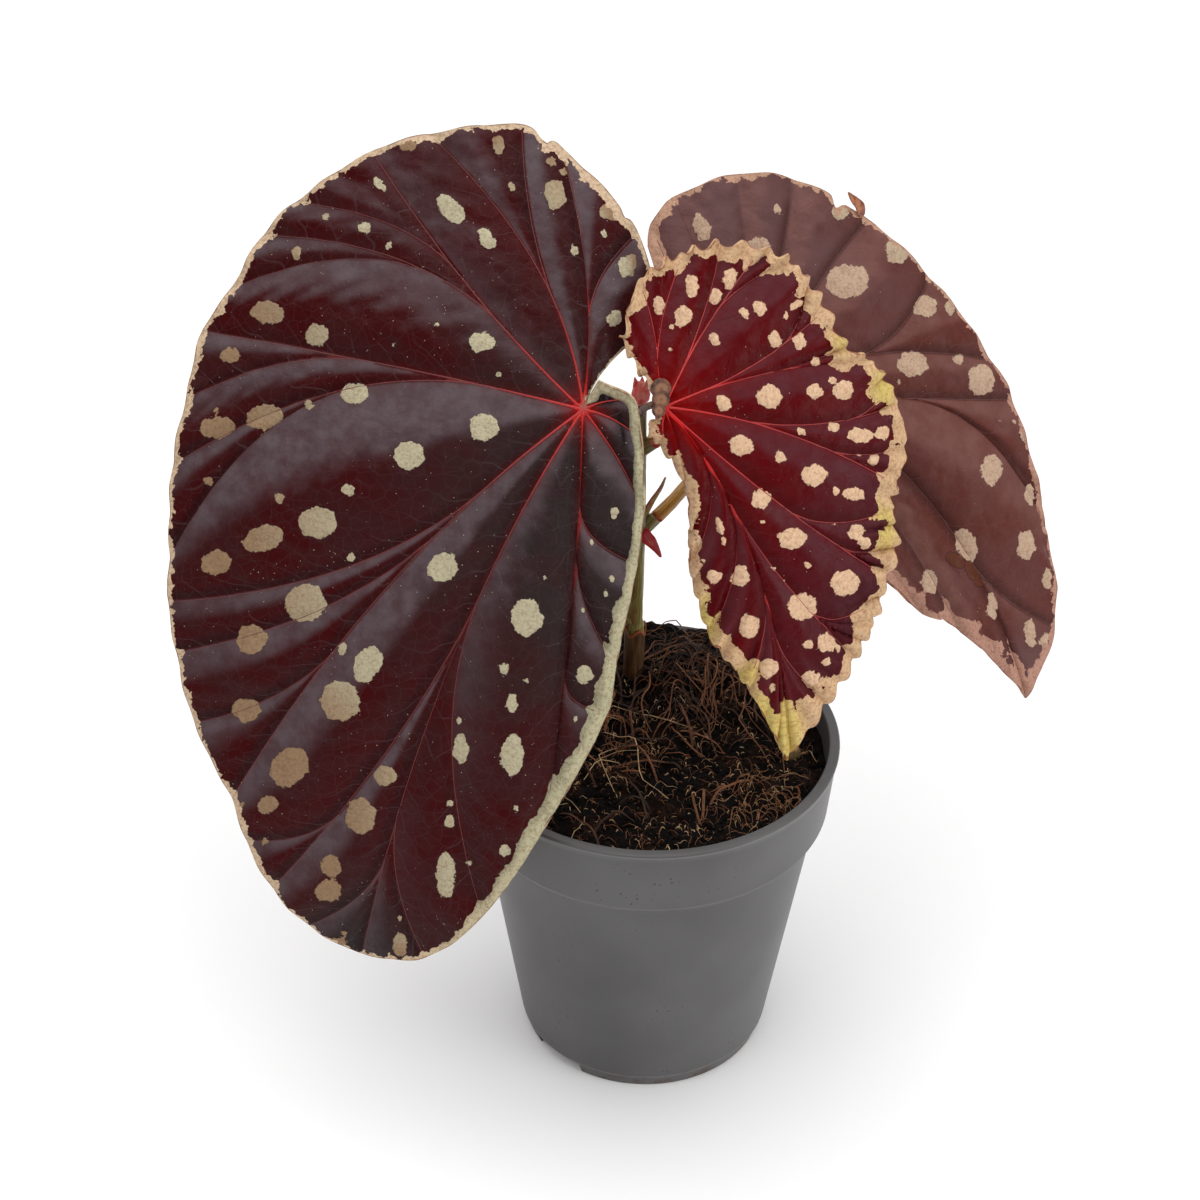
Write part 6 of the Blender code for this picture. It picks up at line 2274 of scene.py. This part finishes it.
@dataclass
class Bud:
    """The pink bud on the cane's tip."""

    segments: int = 40
    scale_steps: int = 16

    def build(self) -> Piece:
        """Make the bud, riding on the root."""
        made = mottled(
            "bud_petal", 0.5, (420.0, 3.0), (0.35, 0.65), (tone(255, 170, 160), tone(248, 108, 104)),
            (1500.0, 2.0, 0.8, 0.4 * MM))
        profile = rounded([(r * MM, h * MM) for r, h in BUD_PROFILE], 1.2 * MM, 5)
        core = revolve("bud_core", profile, self.segments, made)
        for vertex in core.data.vertices:
            direction = Vector((vertex.co.x, vertex.co.y, 0.0))
            wart = noise.noise(vertex.co * 1500.0)
            fold = math.cos(5.0 * math.atan2(vertex.co.y, vertex.co.x) + 300.0 * vertex.co.z)
            vertex.co += direction * (0.10 * wart + 0.06 * fold)
        parts = [core]
        for tip in BUD_TIPS:
            root, end = Vector((tip[0] * 0.5, tip[1] * 0.5, 3.0)) * MM, Vector(tip) * MM
            points = smooth_line([root, (root + end) / 2.0, end], self.scale_steps)
            radii = spread((1.0 * MM, 0.9 * MM, 0.2 * MM), self.scale_steps)
            parts.append(Tube(points, radii, 16, 0.6, 0.1).build("bud_scale", made))
        bud = join(parts, "bud_scales")
        top = cane_point(CANE_PATH[-1][2])
        heading = (top - cane_point(CANE_PATH[-2][2])).normalized()
        turn = heading.to_track_quat("Z", "Y").to_matrix().to_4x4()
        bud.data.transform(Matrix.Translation(top + heading * GAP) @ turn)
        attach(bud, ROOT)
        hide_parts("bud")
        return bud


@dataclass
class FlowerStubs:
    """The round cut ends of old flower stalks, in front of the middle leaf's junction."""

    segments: int = 32

    def build(self) -> Piece:
        """Make the stubs, riding on the root."""
        kit = Paint("stub_bark", 0.65)
        place, cut = kit.place(), kit.attribute("cut")
        stain = kit.step(kit.noise(place, 700.0, 4.0, 0.6), 0.35, 0.65)
        colour = kit.mix(stain, tone(122, 78, 52), tone(52, 28, 20))
        colour = kit.mix(kit.step(cut, 0.05, 0.5, 0.0, 0.8), colour, tone(150, 104, 76))
        colour = kit.mix(kit.step(cut, 0.72, 0.9, 0.0, 0.55), colour, tone(84, 44, 32))
        made = kit.finish(colour, kit.noise(place, 2200.0, 3.0), 0.6, 0.3 * MM)
        blade = Blade(LEAF_MIDDLE)
        stalk = curve_points([Vector(p) * MM for p in STUB_STALK], 24)
        parts = [Tube(stalk, [STUB_STALK_RADIUS * MM] * len(stalk), 16, lump=0.1).build("stub_stalk", made)]
        store(parts[0].data, "cut", [0.0] * len(parts[0].data.vertices))
        for right, up, radius in STUBS:
            flat = np.array([[right, up]])
            low, high = (Vector(blade.place(flat, np.array([out]))[0]) * MM for out in STUB_OUT)
            parts.append(self._knob(low, high, radius * MM, made))
        stubs = join(parts, "flower_stub_ends")
        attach(stubs, ROOT)
        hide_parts("flower_stubs")
        return stubs

    def _knob(self, low: Vector, high: Vector, radius: float, finish: Material) -> Piece:
        """One knob with a sunken cut face and a rim round it."""
        length = (high - low).length
        shares = (
            (0.0, 0.0), (0.7, 0.0), (1.0, 0.45), (0.94, 0.85), (0.78, 1.0), (0.6, 0.9), (0.25, 0.93),
            (0.0, 0.97),
        )
        profile = rounded([(out * radius, up * length) for out, up in shares], 0.3 * radius)
        knob = revolve("knob", profile, self.segments, finish)
        places = [vertex.co for vertex in knob.data.vertices]
        inside = [1.0 - p.xy.length / (0.8 * radius) if p.z > 0.8 * length else 0.0 for p in places]
        store(knob.data, "cut", np.maximum(0.0, inside))
        turn = (high - low).to_track_quat("Z", "Y").to_matrix().to_4x4()
        knob.data.transform(Matrix.Translation(low) @ turn)
        return knob


# Studio

WHITE = (1.0, 1.0, 1.0, 1.0)
AIM = Vector((0.0, 0.0, 0.12))


@dataclass(frozen=True)
class Studio:
    """The pale floor, the soft light and the camera."""

    floor_size: float = 6.0
    sky: float = 0.80
    sky_low: float = 0.22
    key: float = 17.0
    side: float = 3.2
    floor_glow: float = 0.07

    def build(self) -> None:
        """Set up what the plant is seen on and in."""
        self._floor()
        self._sky()
        self._light("key", (-0.2, 0.05, 1.35), 1.9, self.key)
        self._light("side", (0.85, -0.45, 0.3), 0.5, self.side)
        self._camera()
        bpy.context.scene.view_settings.view_transform = "Standard"

    def _floor(self) -> None:
        """The pale floor under the pot."""
        half = self.floor_size / 2.0
        kit = Paint("studio_floor", 0.9, 0.1)
        paper = kit.step(kit.noise(kit.place(), 3.0), 0.3, 0.7)
        kit.shader.inputs["Emission Color"].default_value = WHITE
        kit.shader.inputs["Emission Strength"].default_value = self.floor_glow
        corners = [(-half, -half, 0.0), (half, -half, 0.0), (half, half, 0.0), (-half, half, 0.0)]
        finish = kit.finish(kit.mix(paper, (0.90, 0.90, 0.90), (0.91, 0.91, 0.91)))
        floor = new_object("studio_floor", corners, [(0, 1, 2, 3)], finish)

    def _sky(self) -> None:
        """Light from all round, stronger from above."""
        world = bpy.data.worlds.new("studio")
        world.use_nodes = True
        kit = NodeKit(world.node_tree)
        light = world.node_tree.nodes["Background"]
        strength = kit.step(kit.upward(kit.place("Generated")), 0.3, 0.85, self.sky_low, self.sky)
        light.inputs["Color"].default_value = WHITE
        kit.feed(light.inputs["Strength"], strength)
        bpy.context.scene.world = world

    def _light(self, name: str, place: tuple[float, float, float], size: float, power: float) -> None:
        """A square soft light that faces the plant."""
        data = bpy.data.lights.new(name, "AREA")
        data.shape = "SQUARE"
        data.size = size
        data.energy = power
        lamp = linked(name, data)
        lamp.location = place
        lamp.rotation_euler = (AIM - Vector(place)).to_track_quat("-Z", "Y").to_euler()

    def _camera(self) -> None:
        """The camera at the photograph's point of view."""
        data = bpy.data.cameras.new("camera")
        data.sensor_width = 36.0
        data.lens = data.sensor_width * VIEW.focal / VIEW.side
        data.clip_start = 0.01
        right, up, forward = (Vector(axis) for axis in VIEW.axes())
        camera = linked("camera", data)
        turn = Matrix((right, up, -forward)).transposed()
        camera.matrix_world = Matrix.Translation(Vector(VIEW.place) * MM) @ turn.to_4x4()
        bpy.context.scene.camera = camera


def report(pieces: list[Piece]) -> None:
    """Log each piece with its count of triangles."""
    for piece in pieces:
        piece.data.calc_loop_triangles()
        LOG.info("%s: %d triangles", piece.name, len(piece.data.loop_triangles))


def main() -> None:
    """Build every piece of the finished plant, and the studio round it."""
    logging.basicConfig(level=logging.INFO, format="%(name)s %(message)s")
    effects, tubes, scatter = Effects(), LineTubes(), Scatter()
    report([Pot(effects).build()])
    report(Soil(tubes, scatter).build())
    report(Seed(tubes).build())
    report(Stems(effects).build())
    report([Bud().build(), FlowerStubs().build()])
    for plan, skin in ((LEAF_FRONT, SKIN_FRONT), (LEAF_MIDDLE, SKIN_MIDDLE), (LEAF_BACK, SKIN_BACK)):
        report(LeafPiece(plan, skin, effects, tubes, scatter).build())
    Studio().build()


if __name__ == "__main__":
    main()
